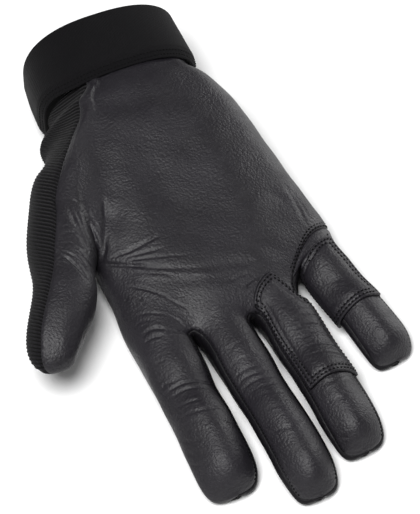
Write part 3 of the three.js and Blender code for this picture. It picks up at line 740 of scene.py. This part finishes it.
class Relief:
    """How far the skin stands out or dips at its creases, folds and stitched rows"""

    def __init__(self, skin):
        self.lines = []
        for crease in CREASES:
            path = self.photo_path(skin, crease)
            if len(path) > 2:
                self.lines.append((path, crease.width, crease.depth, CREASE_FADE))

    def photo_path(self, skin, crease, steps=14, longest_step=12):
        """Where the skin lies under a crease of the photograph"""
        a, b, c = (np.array(p, float) for p in (crease.start, crease.middle, crease.end))
        bend = 2 * b - (a + c) / 2
        path = []
        for t in np.linspace(0, 1, steps):
            x, y = (1 - t) ** 2 * a + 2 * t * (1 - t) * bend + t ** 2 * c
            hit = skin.at_pixel(x, y)
            if hit is not None and (not path or np.linalg.norm(hit - path[-1]) < longest_step):
                path.append(hit)
        return np.array(path)

    def add_row(self, path, width, depth):
        self.lines.append((path, width, depth, ROW_FADE))

    def __call__(self, points):
        out = np.zeros(len(points))
        for path, width, depth, fade in self.lines:
            reach = 4 * width
            near = np.all((points > path.min(0) - reach) & (points < path.max(0) + reach), axis=1)
            index = np.nonzero(near)[0]
            if not len(index):
                continue
            d, share = distance_to_path(points[index], path)
            ends = smoothstep(0, fade, np.minimum(share, 1 - share) + 0.02)
            uneven = 1 + UNEVEN * np.sin(9 * share + 2 * path[0, 0])
            valley = np.exp(-((d / width) ** 2))
            lips = np.exp(-(((d - 2 * width) / (1.1 * width)) ** 2))
            lip = CREASE_LIP if width < WIDE else 0
            out[index] -= CREASE_SHARE * depth * ends * uneven * (valley - lip * lips)
        return out


def soft_waves(points):
    """Slow unevenness of worn leather, in millimetres"""
    x, y, z = points.T
    waves = np.sin(0.21 * x + 0.13 * y + 1.3) + np.sin(0.17 * y - 0.11 * x + 0.19 * z + 4.1)
    waves += 0.6 * np.sin(0.43 * x - 0.31 * y + 2.2) + 0.6 * np.sin(0.39 * y + 0.27 * x + 0.3 * z)
    return WAVE_HEIGHT * waves


# Ribs of the knit: their fall towards the thumb, and the heights between which they turn aslant
RIB_PITCH, RIB_DEPTH, RIB_FALL = 1.35, 0.3, 0.16
RIB_SLANT, SLANT_FROM, SLANT_TO, SLANT_AT = 0.8, 46, 72, -40


def rib_phase(points):
    """Ribs passed on the way up the glove; they lie aslant near the cuff"""
    right, up, _ = camera_axes()
    across, height = points @ right, points @ up
    slant = RIB_SLANT * smoothstep(SLANT_FROM, SLANT_TO, height)
    sway = 0.5 * np.sin(0.11 * height + 0.5)
    return (height + RIB_FALL * across - slant * (across - SLANT_AT) + sway) / RIB_PITCH


# How the border of a panel rolls down into its seam: depth and reach in millimetres
LEATHER_ROLL = (0.4, 0.9)
LAPPED_ROLL = (0.12, 0.5)
KNIT_ROLL = (0.8, 1.3)
# Share of the creases that the knit takes, and lowest height of the lining in millimetres
KNIT_RELIEF, LINING_FLOOR = 0.6, 0.05


def shell(skin, relief, chosen, detail, knit, touching):
    """A panel with rolled borders: points, faces, how many of them are outer ones, ribs passed"""
    polygons = polygons_of(skin, chosen, detail)
    rims = rims_of(polygons)
    used = np.unique(np.concatenate([np.array(p) for p in polygons]))
    points, normals = skin.points[used], skin.normals[used]
    local = {g: i for i, g in enumerate(used.tolist())}
    rolls = KDTree(len(rims))
    roll_at = []
    pull = np.zeros((len(used), 3))
    before = {b: a for a, b in rims.items()}
    for n, (g, after) in enumerate(rims.items()):
        i = local[g]
        rolls.insert(points[i], n)
        lapped = not knit and "back_panel" in touching.get(g, ())
        roll_at.append(KNIT_ROLL if knit else LAPPED_ROLL if lapped else LEATHER_ROLL)
        into = np.zeros(3)
        for a, b in ((g, after), (before.get(g, g), g)):
            way = np.cross(normals[i], skin.points[b] - skin.points[a])
            into += way / max(np.linalg.norm(way), 1e-9)
        pull[i] = into / max(into @ into / 2, 0.5) * SEAM_GAP / 2
    rolls.balance()
    drop = np.zeros(len(used))
    for i, p in enumerate(points):
        _, n, d = rolls.find(p)
        depth, reach = roll_at[n]
        if d < 3 * reach:
            drop[i] = depth * math.exp(-((d / reach) ** 2))
    if knit:
        raised = relief(points) * KNIT_RELIEF
        phase = rib_phase(points)
        fine = fine_share(skin, chosen, detail, used)
        raised += RIB_DEPTH * fine * (np.cos(2 * math.pi * phase) - 1) / 2
    else:
        raised = relief(points) + soft_waves(points)
        phase = np.zeros(len(used))
    outer = points + pull + normals * (raised - drop)[:, None]
    outer[:, 2] = np.maximum(outer[:, 2], 0)

    quads = skin.faces[INNER][children(chosen, INNER)]
    inner_used = np.unique(quads)
    inner_local = {g: len(used) + i for i, g in enumerate(inner_used.tolist())}
    wall = KNIT_WALL if knit else LEATHER_WALL
    at_rim = np.array([g in rims for g in inner_used.tolist()])
    thick = np.where(at_rim, wall * SEAM_THINNING, wall)
    rows = np.array([local[g] for g in inner_used.tolist()])
    base = points[rows] + pull[rows] + normals[rows] * raised[rows][:, None]
    inner = base - skin.inner_normals[inner_used] * thick[:, None]
    inner[:, 2] = np.maximum(inner[:, 2], LINING_FLOOR)

    faces = [[local[g] for g in loop] for loop in polygons]
    outer_count = len(faces)
    faces += [[inner_local[g] for g in reversed(q)] for q in quads.tolist()]
    for start in [g for g in rims if g in inner_local]:
        chain = [start, rims[start]]
        while chain[-1] not in inner_local:
            chain.append(rims[chain[-1]])
        faces.append([local[g] for g in reversed(chain)] + [inner_local[start], inner_local[chain[-1]]])
    return np.concatenate([outer, inner]), faces, outer_count, phase


def fine_share(skin, chosen, detail, used):
    """How much of the ribs' depth each point takes: all where the net is finest"""
    out = np.zeros(len(skin.points))
    fine = [i for i in chosen if detail[i] == 2]
    rough = [i for i in chosen if detail[i] != 2]
    out[skin.faces[FINEST][children(fine, FINEST)]] = 1
    out[skin.faces[SKIN][children(rough, SKIN)]] = 0
    return out[used]


def add_to_scene(name, data):
    thing = bpy.data.objects.new(name, data)
    bpy.context.scene.collection.objects.link(thing)
    return thing


def make_object(name, points, faces, materials):
    """Smooth object of a mesh in millimetres"""
    mesh = bpy.data.meshes.new(name)
    mesh.from_pydata((np.asarray(points) * MM).tolist(), [], faces)
    for material in materials:
        mesh.materials.append(material)
    mesh.polygons.foreach_set("use_smooth", [True] * len(mesh.polygons))
    mesh.update()
    return add_to_scene(name, mesh)


def finish_piece(piece, slot, *nodes):
    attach(piece, "root")
    if nodes:
        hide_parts(*nodes)


def build_panels(skin, relief, looks):
    whole = skin.whole
    pieces = {}
    for i, place in enumerate(whole):
        pieces.setdefault(piece_of(*place, skin), []).append(i)
    touching = {}
    for name, chosen in pieces.items():
        for g in np.unique(skin.faces[SKIN][children(chosen, SKIN)]).tolist():
            touching.setdefault(g, []).append(name)
    for name, chosen in pieces.items():
        knit = name == "back_panel"
        detail = {i: detail_of(*whole[i], name, skin) for i in chosen}
        points, faces, outer, phase = shell(skin, relief, chosen, detail, knit, touching)
        gusset = name.startswith("fourchette")
        finish = looks.knit if knit else looks.gusset if gusset else looks.leather
        piece = make_object(name, points, faces, [finish, looks.lining])
        inside = np.arange(len(faces)) >= outer
        piece.data.polygons.foreach_set("material_index", inside.astype(np.int32))
        if knit:
            rib = piece.data.attributes.new("rib", "FLOAT", "POINT")
            full = np.zeros(len(points), np.float32)
            full[:len(phase)] = phase
            rib.data.foreach_set("value", full)
        finish_piece(piece, "knit" if knit else "leather", name)


# Stitches in millimetres; along each, shares of its length and radius, and its rise
STITCH = SimpleNamespace(length=1.1, pitch=1.8, radius=0.34)
FINE_STITCH = SimpleNamespace(length=0.85, pitch=1.45, radius=0.24)
ROW_WIDTH, ROW_DEPTH = 0.5, 0.14
STITCH_STATIONS = ((0, 0.35, -0.22), (0.2, 0.9, 0), (0.5, 1, 0.06), (0.8, 0.9, 0), (1, 0.35, -0.22))
STITCH_SIDES = 6


class Stitching:
    """Rows of stitches gathered into one mesh"""

    def __init__(self):
        self.points, self.faces = [], []

    def row(self, path, normals, kind):
        path, normals = np.asarray(path), np.asarray(normals)
        passed = passed_along(path)

        def at(s):
            p = np.array([np.interp(s, passed, path[:, k]) for k in range(3)])
            n = np.array([np.interp(s, passed, normals[:, k]) for k in range(3)])
            return p, n / np.linalg.norm(n)

        count = int((passed[-1] - kind.length) / kind.pitch)
        for i in range(count + 1):
            self.stitch(at, i * kind.pitch, kind)

    def stitch(self, at, start, kind):
        a, _ = at(start)
        b, _ = at(start + kind.length)
        way = (b - a) / max(np.linalg.norm(b - a), 1e-9)
        first = len(self.points)
        for share, size, rise in STITCH_STATIONS:
            p, n = at(start + share * kind.length)
            side = np.cross(way, n)
            for k in range(STITCH_SIDES):
                turn = 2 * math.pi * k / STITCH_SIDES
                r = kind.radius * size
                self.points.append(p + n * (rise + r * math.sin(turn)) + side * r * math.cos(turn))
        for j in range(len(STITCH_STATIONS) - 1):
            for k in range(STITCH_SIDES):
                m = (k + 1) % STITCH_SIDES
                low, high = first + j * STITCH_SIDES, first + (j + 1) * STITCH_SIDES
                self.faces.append([low + k, low + m, high + m, high + k])
        self.faces.append([first + k for k in reversed(range(STITCH_SIDES))])
        end = first + (len(STITCH_STATIONS) - 1) * STITCH_SIDES
        self.faces.append([end + k for k in range(STITCH_SIDES)])


def inset_line(skin, region, u, v_range, side, inset, steps=60):
    """Line beside a column of the net, a number of millimetres from it"""
    path, normals = [], []
    for v in np.linspace(*v_range, steps):
        a, _ = skin.on_net(region, u, v)
        b, _ = skin.on_net(region, u + side * 0.25, v)
        du = side * 0.25 * inset / max(np.linalg.norm(b - a), 1e-6)
        p, n = skin.on_net(region, u + du, v)
        path.append(p)
        normals.append(n)
    return np.array(path), np.array(normals)


# Finger, column of its net, first row, side of the column and millimetres from it
SEAM_ROWS = (
    ("index", 2, 0.1, -1, 1.0),
    ("middle", 2, 0.1, -1, 1.0),
    ("middle", 8, 0.1, 1, 1.0),
    ("ring", 2, 0.1, -1, 1.0),
    ("ring", 8, 0.1, 1, 1.0),
    ("little", 2, 0.3, -1, 0.9),
)
# Double row above the root of the little finger: millimetres from the seam, length of a row of
# the net there, and the columns it passes
LITTLE_ROOT_ROWS, LITTLE_ROOT_ROW, LITTLE_ROOT_COLUMNS = (1.1, 2.6), 12, (7.05, 9.9)


def seam_rows(skin):
    """Stitched rows of the leather: path, outward directions, kind of stitch"""
    rows = []
    last = len(FINGER_SECTIONS) - 0.1
    for name, column, first, side, inset in SEAM_ROWS:
        rows.append((*inset_line(skin, name, column, (first, last), side, inset), FINE_STITCH))
    for inset in LITTLE_ROOT_ROWS:
        v = len(HAND_SECTIONS) - inset / LITTLE_ROOT_ROW
        path = [skin.on_net("hand", u, v) for u in np.linspace(*LITTLE_ROOT_COLUMNS, 40)]
        rows.append((np.array([p for p, _ in path]), np.array([n for _, n in path]), STITCH))
    return rows


# Rounded corner of a patch: its share of the patch's breadth, and its rows of the net
PATCH_CORNER = 0.22
PATCH_CORNER_ROWS = 0.45


def patch_place(patch, across, along):
    """Column and row of the net under a share across and along a patch"""
    low, high = patch.turn
    left = patch.left + (patch.left_end - patch.left) * along
    u = left + (patch.right - left) * across
    turned = smoothstep(low, high, u) if high > low else 1 - smoothstep(high, low, u)
    corner = max(0, 1 - across / PATCH_CORNER)
    top = patch.front_top + (patch.side_top - patch.front_top) * float(turned)
    top += PATCH_CORNER_ROWS * (1 - math.sqrt(1 - corner ** 2))
    return u, top + (patch.bottom - top) * along


def on_patch(skin, patch, *shares):
    return skin.on_net(patch.finger, *patch_place(patch, *shares))


def beside_edge(which, t, share):
    """Shares across and along a patch, inwards of its top, right, bottom or left edge"""
    return ((t, share), (1 - share, t), (t, 1 - share), (share, t))[which]


def patch_border(skin, patch, steps=50):
    """Edges of a patch, one after the other"""
    return np.array([on_patch(skin, patch, *beside_edge(which, t if which < 2 else 1 - t, 0))[0]
                     for which in range(4) for t in np.linspace(0, 1, steps)])


# Faces across and along a patch; its lift, rounded edge and soft filling in millimetres; where
# its stitched rows lie, how wide and deep they are, and how far the stitches sink in
PATCH_FACES = (72, 132)
PATCH_LIFT, PATCH_ROUND, PATCH_FILLING, FILLING_REACH = 0.15, 0.6, 0.25, 3
PATCH_ROWS, PATCH_ROW_WIDTH, PATCH_ROW_DEPTH, STITCH_SUNK = (1.4, 3.0), 0.5, 0.3, 0.2


def build_patch(skin, relief, patch, looks, stitching):
    """A patch laid on its finger, with double rows of stitches beside the edges"""
    wide, long = PATCH_FACES
    rim = patch_border(skin, patch)
    shares = [(a / wide, b / long) for a in range(wide + 1) for b in range(long + 1)]
    laid = [on_patch(skin, patch, *q) for q in shares]
    points, normals = np.array([p for p, _ in laid]), np.array([n for _, n in laid])
    distance, _ = distance_to_path(points, np.concatenate([rim, rim[:1]]))
    raised = relief(points)

    def height(d, dip):
        rounding = np.sqrt(np.maximum(1 - (1 - np.minimum(d / PATCH_ROUND, 1)) ** 2, 0))
        rows = sum(PATCH_ROW_DEPTH * np.exp(-(((d - row) / PATCH_ROW_WIDTH) ** 2)) for row in PATCH_ROWS)
        puff = PATCH_FILLING * smoothstep(PATCH_ROWS[-1], PATCH_ROWS[-1] + FILLING_REACH, d)
        return PATCH_LIFT + PATCH_WALL * rounding - rows + puff + dip

    inland = smoothstep(0, 2, distance)
    top = points + normals * height(distance, raised * inland)[:, None]
    bottom = points + normals * (PATCH_LIFT + np.minimum(raised * inland, 0))[:, None]
    under = np.arange(len(points)) + len(points)
    for i, (across, along) in enumerate(shares):
        if across in (0, 1) or along in (0, 1):
            under[i] = i
    faces = []
    for a in range(wide):
        for b in range(long):
            i = a * (long + 1) + b
            q = [i, i + 1, i + long + 2, i + long + 1]
            faces.append(q)
            faces.append(under[q[::-1]].tolist())
    kept = np.concatenate([top, bottom])
    used = sorted({i for f in faces for i in f})
    local = {g: i for i, g in enumerate(used)}
    piece = make_object(patch.name, kept[used], [[local[i] for i in f] for f in faces], [looks.leather])
    finish_piece(piece, "leather", patch.name)
    for inset in PATCH_ROWS:
        for which in range(4):
            add_patch_row(skin, relief, patch, stitching, which, inset)


def add_patch_row(skin, relief, patch, stitching, which, inset, steps=70, probe=0.05):
    """Stitches at a distance from one edge of a patch"""
    path, normals = [], []
    for t in np.linspace(0, 1, steps):
        a, b = (on_patch(skin, patch, *beside_edge(which, t, share))[0] for share in (0, probe))
        share = probe * inset / max(np.linalg.norm(b - a), 1e-6)
        p, n = on_patch(skin, patch, *beside_edge(which, t, share))
        path.append(p)
        normals.append(n)
    path, normals = np.array(path), np.array(normals)
    passed = passed_along(path)
    kept = (passed > inset) & (passed < passed[-1] - inset)
    path, normals = path[kept], normals[kept]
    lift = PATCH_LIFT + PATCH_WALL - STITCH_SUNK + relief(path)
    stitching.row(path + normals * lift[:, None], normals, STITCH)


# Elastic band: columns round the wrist, and millimetres that its lower edge rises by the thumb
CUFF_COLUMNS, CUFF_SIDE_RISE = 288, 3
# Share of the wall left at its pared lower border, and the ease there in millimetres
CUFF_PARED, CUFF_LOW_EASE = 0.45, 0.35
# Shares of its height: end of the pared border, round of the rims, stitched rows, pressed line
CUFF_PARED_TO, CUFF_RIM, CUFF_STITCH_ROWS, CUFF_HEM = 0.16, 0.03, (0.045, 0.1), 0.14
# Waves of the wall, and depth of the pressed line in millimetres with its width as a share
CUFF_WAVE, CUFF_HEM_DEPTH, CUFF_HEM_WIDTH = 0.22, 0.25, 0.018


def cuff_profile():
    """Walk round the band's wall: share of its height, and share of its wall, 1 outside"""
    low, high = CUFF_RIM, 1 - CUFF_RIM
    turns = np.linspace(0.3, math.pi - 0.3, 5)
    outer = [(r, 1) for r in np.linspace(low, high, 44)]
    top = [(high + CUFF_RIM * math.sin(t), 0.5 + 0.5 * math.cos(t)) for t in turns]
    inner = [(r, 0) for r in np.linspace(high, low, 16)]
    bottom = [(low - CUFF_RIM * math.sin(t), 0.5 - 0.5 * math.cos(t)) for t in turns]
    return outer + top + inner + bottom


def cuff_place(skin, k, rise, share):
    """Point of the band at a column, a share of its height and of its wall, and which way is out"""
    wrist = HAND_SECTIONS[1]
    half = (wrist.ulnar - wrist.radial) * PALM_BREADTH / 2
    rises = [s.rise for s in CUFF_SECTIONS]
    breadth, depth, lean = (np.interp(rise, rises, [getattr(s, name) for s in CUFF_SECTIONS])
                            for name in ("breadth", "depth", "lean"))
    angle = 2 * math.pi * k / CUFF_COLUMNS
    c, h = -math.cos(angle), math.sin(angle)
    power = 2 / PALM_ARCH if h > 0 else 2 / CUFF_BACK_ARCH
    reach = ((wrist.top - wrist.side) if h > 0 else (wrist.side - wrist.back)) * WRIST_DEPTH
    x = skin.wrist_x + math.copysign(abs(c) ** power, c) * half * breadth - lean * PALM_BREADTH
    z = math.copysign(abs(h) ** power, h) * reach * (depth if h > 0 else 1)
    slant = CUFF_SLANT + (CUFF_TOP_SLANT - CUFF_SLANT) * rise
    y = SEAM_Y + slant * x / PALM_BREADTH + CUFF_HEIGHT * rise
    y += CUFF_SIDE_RISE * (1 - rise) * float(smoothstep(0.5, 1, -c))
    n = np.array([c / half * abs(c) ** 0.2, 0, h / reach * abs(h) ** 0.2])
    n /= np.linalg.norm(n)
    pared = float(smoothstep(0, CUFF_PARED_TO, rise))
    ease = CUFF_LOW_EASE + (BAND_EASE - CUFF_LOW_EASE) * pared
    wall = CUFF_WALL * (CUFF_PARED + (1 - CUFF_PARED) * pared)
    waves = CUFF_WAVE * math.sin(3 * angle + 4 * rise)
    hem = CUFF_HEM_DEPTH * math.exp(-(((rise - CUFF_HEM) / CUFF_HEM_WIDTH) ** 2))
    lift = ease + share * (wall + waves - hem)
    p = np.array([x, y, wrist.side * WRIST_DEPTH - SETTLE + z]) + n * lift + skin.offset
    return p, n


def build_cuff(skin, looks):
    """Elastic band: a wall with rounded rims, swept round the wrist"""
    profile = cuff_profile()
    points = np.array([cuff_place(skin, k, rise, share)[0]
                       for rise, share in profile for k in range(CUFF_COLUMNS)])
    points[:, 2] = np.maximum(points[:, 2], 0)
    rows = len(profile)
    faces = []
    for j in range(rows):
        a, b = j * CUFF_COLUMNS, (j + 1) % rows * CUFF_COLUMNS
        for k in range(CUFF_COLUMNS):
            m = (k + 1) % CUFF_COLUMNS
            faces.append([a + k, a + m, b + m, b + k])
    piece = make_object("cuff_band", points, faces, [looks.webbing])
    finish_piece(piece, "elastic", "cuff_band")
    stitching = Stitching()
    for rise in CUFF_STITCH_ROWS:
        placed = [cuff_place(skin, k, rise, 1) for k in range(CUFF_COLUMNS + 1)]
        path, normals = (np.array(values) for values in zip(*placed))
        path[:, 2] = np.maximum(path[:, 2], 2 * FINE_STITCH.radius)
        stitching.row(path, normals, FINE_STITCH)
    piece = make_object("cuff_stitching", stitching.points, stitching.faces, [looks.thread])
    finish_piece(piece, "elastic")


class Nodes:
    """A material under construction"""

    def __init__(self, name):
        self.material = bpy.data.materials.new(name)
        self.material.use_nodes = True
        self.tree = self.material.node_tree
        self.shader = self.tree.nodes["Principled BSDF"]

    def add(self, kind, inputs=None, **settings):
        node = self.tree.nodes.new("ShaderNode" + kind)
        for key, value in settings.items():
            setattr(node, key, value)
        for key, value in (inputs or {}).items():
            self.set(node.inputs[key], value)
        return node

    def set(self, socket, value):
        if isinstance(value, bpy.types.NodeSocket):
            self.tree.links.new(value, socket)
        else:
            socket.default_value = value

    def object_space(self, scale=(1, 1, 1), turn=(0, 0, 0)):
        where = self.add("TexCoord").outputs["Object"]
        mapping = self.add("Mapping", {"Vector": where, "Scale": scale, "Rotation": turn})
        return mapping.outputs["Vector"]

    def noise(self, scale, vector, detail=3, roughness=0.55, distortion=0):
        node = self.add("TexNoise", {"Vector": vector, "Scale": scale, "Detail": detail,
                                     "Roughness": roughness, "Distortion": distortion})
        return node.outputs["Fac"]

    def maths(self, operation, a, b=0.0):
        return self.add("Math", {0: a, 1: b}, operation=operation).outputs[0]

    def ramp(self, value, low, high, start, end):
        node = self.add("MapRange", {"Value": value, "From Min": low, "From Max": high,
                                     "To Min": start, "To Max": end})
        return node.outputs["Result"]

    def mix_colour(self, share, a, b):
        node = self.add("Mix", data_type="RGBA")
        self.set(node.inputs[0], share)
        self.set(node.inputs[6], a)
        self.set(node.inputs[7], b)
        return node.outputs[2]

    def blend(self, *parts):
        """Sum of values, each times its weight"""
        total, *others = [self.maths("MULTIPLY", value, weight) for value, weight in parts]
        for part in others:
            total = self.maths("ADD", total, part)
        return total

    def wave(self, direction, vector, scale, distortion, detail=1.0, detail_scale=1.0):
        inputs = {"Vector": vector, "Scale": scale, "Distortion": distortion,
                  "Detail": detail, "Detail Scale": detail_scale}
        return self.add("TexWave", inputs, bands_direction=direction).outputs["Fac"]

    def surface(self, colour, roughness, **others):
        """Gives the shader its values, and returns the material"""
        for name, value in {"Base_Color": colour, "Roughness": roughness, **others}.items():
            self.set(self.shader.inputs[name.replace("_", " ")], value)
        return self.material

    def bump(self, height, distance, strength=1.0, below=None):
        inputs = {"Height": height, "Distance": distance, "Strength": strength}
        if below is not None:
            inputs["Normal"] = below
        return self.add("Bump", inputs).outputs["Normal"]


def tone(r, g, b):
    """Linear colour from the 0 to 255 values of a screen"""
    return (*[(v / 255 / 12.92 if v < 10 else ((v / 255 + 0.055) / 1.055) ** 2.4) for v in (r, g, b)], 1)


# The narrow strips between the fingers get painted shade: their leather's colour and specular level are
# cut to this share
GUSSET_PAINTED_SHADE = 0.45


def leather_look(name="soft_leather", shade=1.0):
    """Pebbled leather with pores, a fine crinkle and soft patches"""
    m = Nodes(name)
    where = m.object_space()
    cells = m.add("TexVoronoi", {"Vector": where, "Scale": 1150.0}, feature="SMOOTH_F1")
    pebble = m.maths("SUBTRACT", 1.0, cells.outputs["Distance"])
    grain = m.blend((pebble, 0.7), (m.noise(2400, where, 2), 0.4))
    crinkle = m.noise(750, m.object_space((0.6, 1.3, 1)), 4, 0.6, 1.2)
    patches = m.noise(45, where, 3)
    crinkled = m.maths("MULTIPLY", crinkle, m.ramp(patches, 0.35, 0.7, 0.35, 1))
    colour = m.mix_colour(m.ramp(patches, 0.3, 0.7, 0, 1), tone(19, 17, 21), tone(26, 24, 29))
    # The colour turns lighter towards the tops of the pebbles
    pebble_tops = m.ramp(pebble, 0.3, 0.95, 0, 1)
    colour = m.mix_colour(m.maths("MULTIPLY", pebble_tops, 0.35), colour, tone(37, 35, 40))
    # Painted shade: a shade below 1 darkens the colour towards black
    colour = m.mix_colour(shade, tone(0, 0, 0), colour)
    roughness = m.ramp(m.noise(120, where, 4), 0.3, 0.7, 0.43, 0.56)
    normal = m.bump(grain, 0.00035, 0.75, m.bump(crinkled, 0.00035, 0.55))
    return m.surface(colour, roughness, Normal=normal, Specular_IOR_Level=0.34 * shade)


def knit_look():
    """Knit of fine loops, with painted shade between its ribs"""
    m = Nodes("ribbed_knit")
    where = m.object_space()
    rib = m.add("Attribute", attribute_name="rib").outputs["Fac"]
    wave = m.maths("COSINE", m.maths("MULTIPLY", rib, 2 * math.pi))
    ridge = m.ramp(wave, -0.5, 1, 0, 1)
    loops = m.wave("X", m.object_space(turn=(0, 0, AZIMUTH)), 380, 1.5, detail_scale=4.0)
    fuzz = m.noise(2600, where, 3)
    # Painted shade: the colour falls to black in the grooves between the ribs
    colour = m.mix_colour(ridge, tone(0, 0, 0), tone(21, 19, 23))
    colour = m.mix_colour(m.maths("MULTIPLY", loops, 0.4), colour, tone(10, 9, 11))
    height = m.blend((ridge, 1.0), (loops, 0.35), (fuzz, 0.3))
    return m.surface(colour, m.ramp(fuzz, 0.3, 0.7, 0.85, 1), Normal=m.bump(height, 0.0005, 0.8),
                     Specular_IOR_Level=0.15, Sheen_Weight=0.03, Sheen_Roughness=0.6)


def webbing_look():
    """Close weave of the elastic band"""
    m = Nodes("elastic_webbing")
    where = m.object_space()
    weave = m.maths("MULTIPLY", m.wave("X", where, 560, 0.6), m.wave("Y", where, 620, 0.6))
    fuzz = m.noise(2200, where, 4)
    patches = m.noise(60, where, 2)
    colour = m.mix_colour(m.maths("MULTIPLY", weave, 0.8), tone(3, 2, 4), tone(11, 10, 13))
    colour = m.mix_colour(m.ramp(patches, 0.3, 0.7, 0, 0.3), colour, tone(3, 3, 4))
    height = m.blend((weave, 1.0), (fuzz, 0.6))
    return m.surface(colour, m.ramp(fuzz, 0.3, 0.7, 0.8, 0.98), Normal=m.bump(height, 0.00016, 0.7),
                     Specular_IOR_Level=0.15, Sheen_Weight=0.02, Sheen_Roughness=0.6)


def thread_look():
    """Black twisted thread"""
    m = Nodes("thread")
    twist = m.wave("DIAGONAL", m.object_space(), 1500, 1.0, detail=2.0)
    colour = m.mix_colour(twist, tone(1, 1, 1), tone(7, 7, 8))
    return m.surface(colour, m.ramp(twist, 0, 1, 0.75, 0.9), Normal=m.bump(twist, 0.0001, 0.5),
                     Specular_IOR_Level=0.12)


def lining_look():
    """Napped inner side of the leather and the knit"""
    m = Nodes("suede_side")
    nap = m.noise(1400, m.object_space(), 5)
    colour = m.mix_colour(nap, tone(12, 12, 13), tone(30, 29, 32))
    return m.surface(colour, m.ramp(nap, 0.3, 0.7, 0.9, 1), Normal=m.bump(nap, 0.0002, 0.6))


def floor_look():
    m = Nodes("pale_floor")
    mottle = m.noise(8, m.object_space(), 2)
    return m.surface(m.mix_colour(mottle, tone(238, 238, 238), tone(242, 242, 242)), 0.9)


def add_camera():
    right, up, back = camera_axes()
    data = bpy.data.cameras.new("camera")
    data.lens, data.sensor_width, data.sensor_fit = LENS, SENSOR, "AUTO"
    data.clip_start, data.clip_end = 0.05, 20
    camera = add_to_scene("camera", data)
    matrix = Matrix([list(row) + [0] for row in np.array([right, up, back]).T] + [[0, 0, 0, 1]])
    matrix.translation = Vector((AIM + back * DISTANCE) * MM)
    camera.matrix_world = matrix
    bpy.context.scene.camera = camera


def add_light(name, place, size, power, target=(0, 0, 0.01)):
    data = bpy.data.lights.new(name, "AREA")
    data.shape, data.size, data.energy = "DISK", size, power
    light = add_to_scene(name, data)
    way = Vector(target) - Vector(place)
    light.rotation_euler = way.to_track_quat("-Z", "Y").to_euler()
    light.location = place


def add_studio():
    """Lights, in metres and watts, a pale surround and a floor"""
    add_light("key", (-0.5, -0.45, 1.6), 0.9, 42)
    add_light("front", (-0.5, -1.4, 1.0), 0.4, 3)
    add_light("edge", (1.4, 0.7, 0.35), 0.5, 10)
    world = bpy.data.worlds.new("studio")
    world.use_nodes = True
    background = world.node_tree.nodes["Background"]
    background.inputs["Color"].default_value = (1, 1, 1, 1)
    background.inputs["Strength"].default_value = 0.14
    bpy.context.scene.world = world
    mesh = bpy.data.meshes.new("floor")
    span, level = 6, -0.0002
    corners = ((-1, -1), (1, -1), (1, 1), (-1, 1))
    mesh.from_pydata([(x * span, y * span, level) for x, y in corners], [], [(0, 1, 2, 3)])
    mesh.materials.append(floor_look())
    floor = add_to_scene("floor", mesh)


add_camera()
looks = SimpleNamespace(leather=leather_look(), gusset=leather_look("gusset_leather", GUSSET_PAINTED_SHADE),
                        knit=knit_look(), webbing=webbing_look(),
                        thread=thread_look(), lining=lining_look())
skin = Skin()
relief = Relief(skin)
rows = seam_rows(skin)
for path, _, kind in rows:
    relief.add_row(path, ROW_WIDTH, ROW_DEPTH)
build_panels(skin, relief, looks)
stitching = Stitching()
for patch in PATCHES:
    build_patch(skin, relief, patch, looks, stitching)
for path, normals, kind in rows:
    stitching.row(path + normals * relief(path)[:, None], normals, kind)
seams = make_object("stitching", stitching.points, stitching.faces, [looks.thread])
finish_piece(seams, "leather")
build_cuff(skin, looks)
add_studio()
bpy.context.scene.view_settings.view_transform = "Standard"
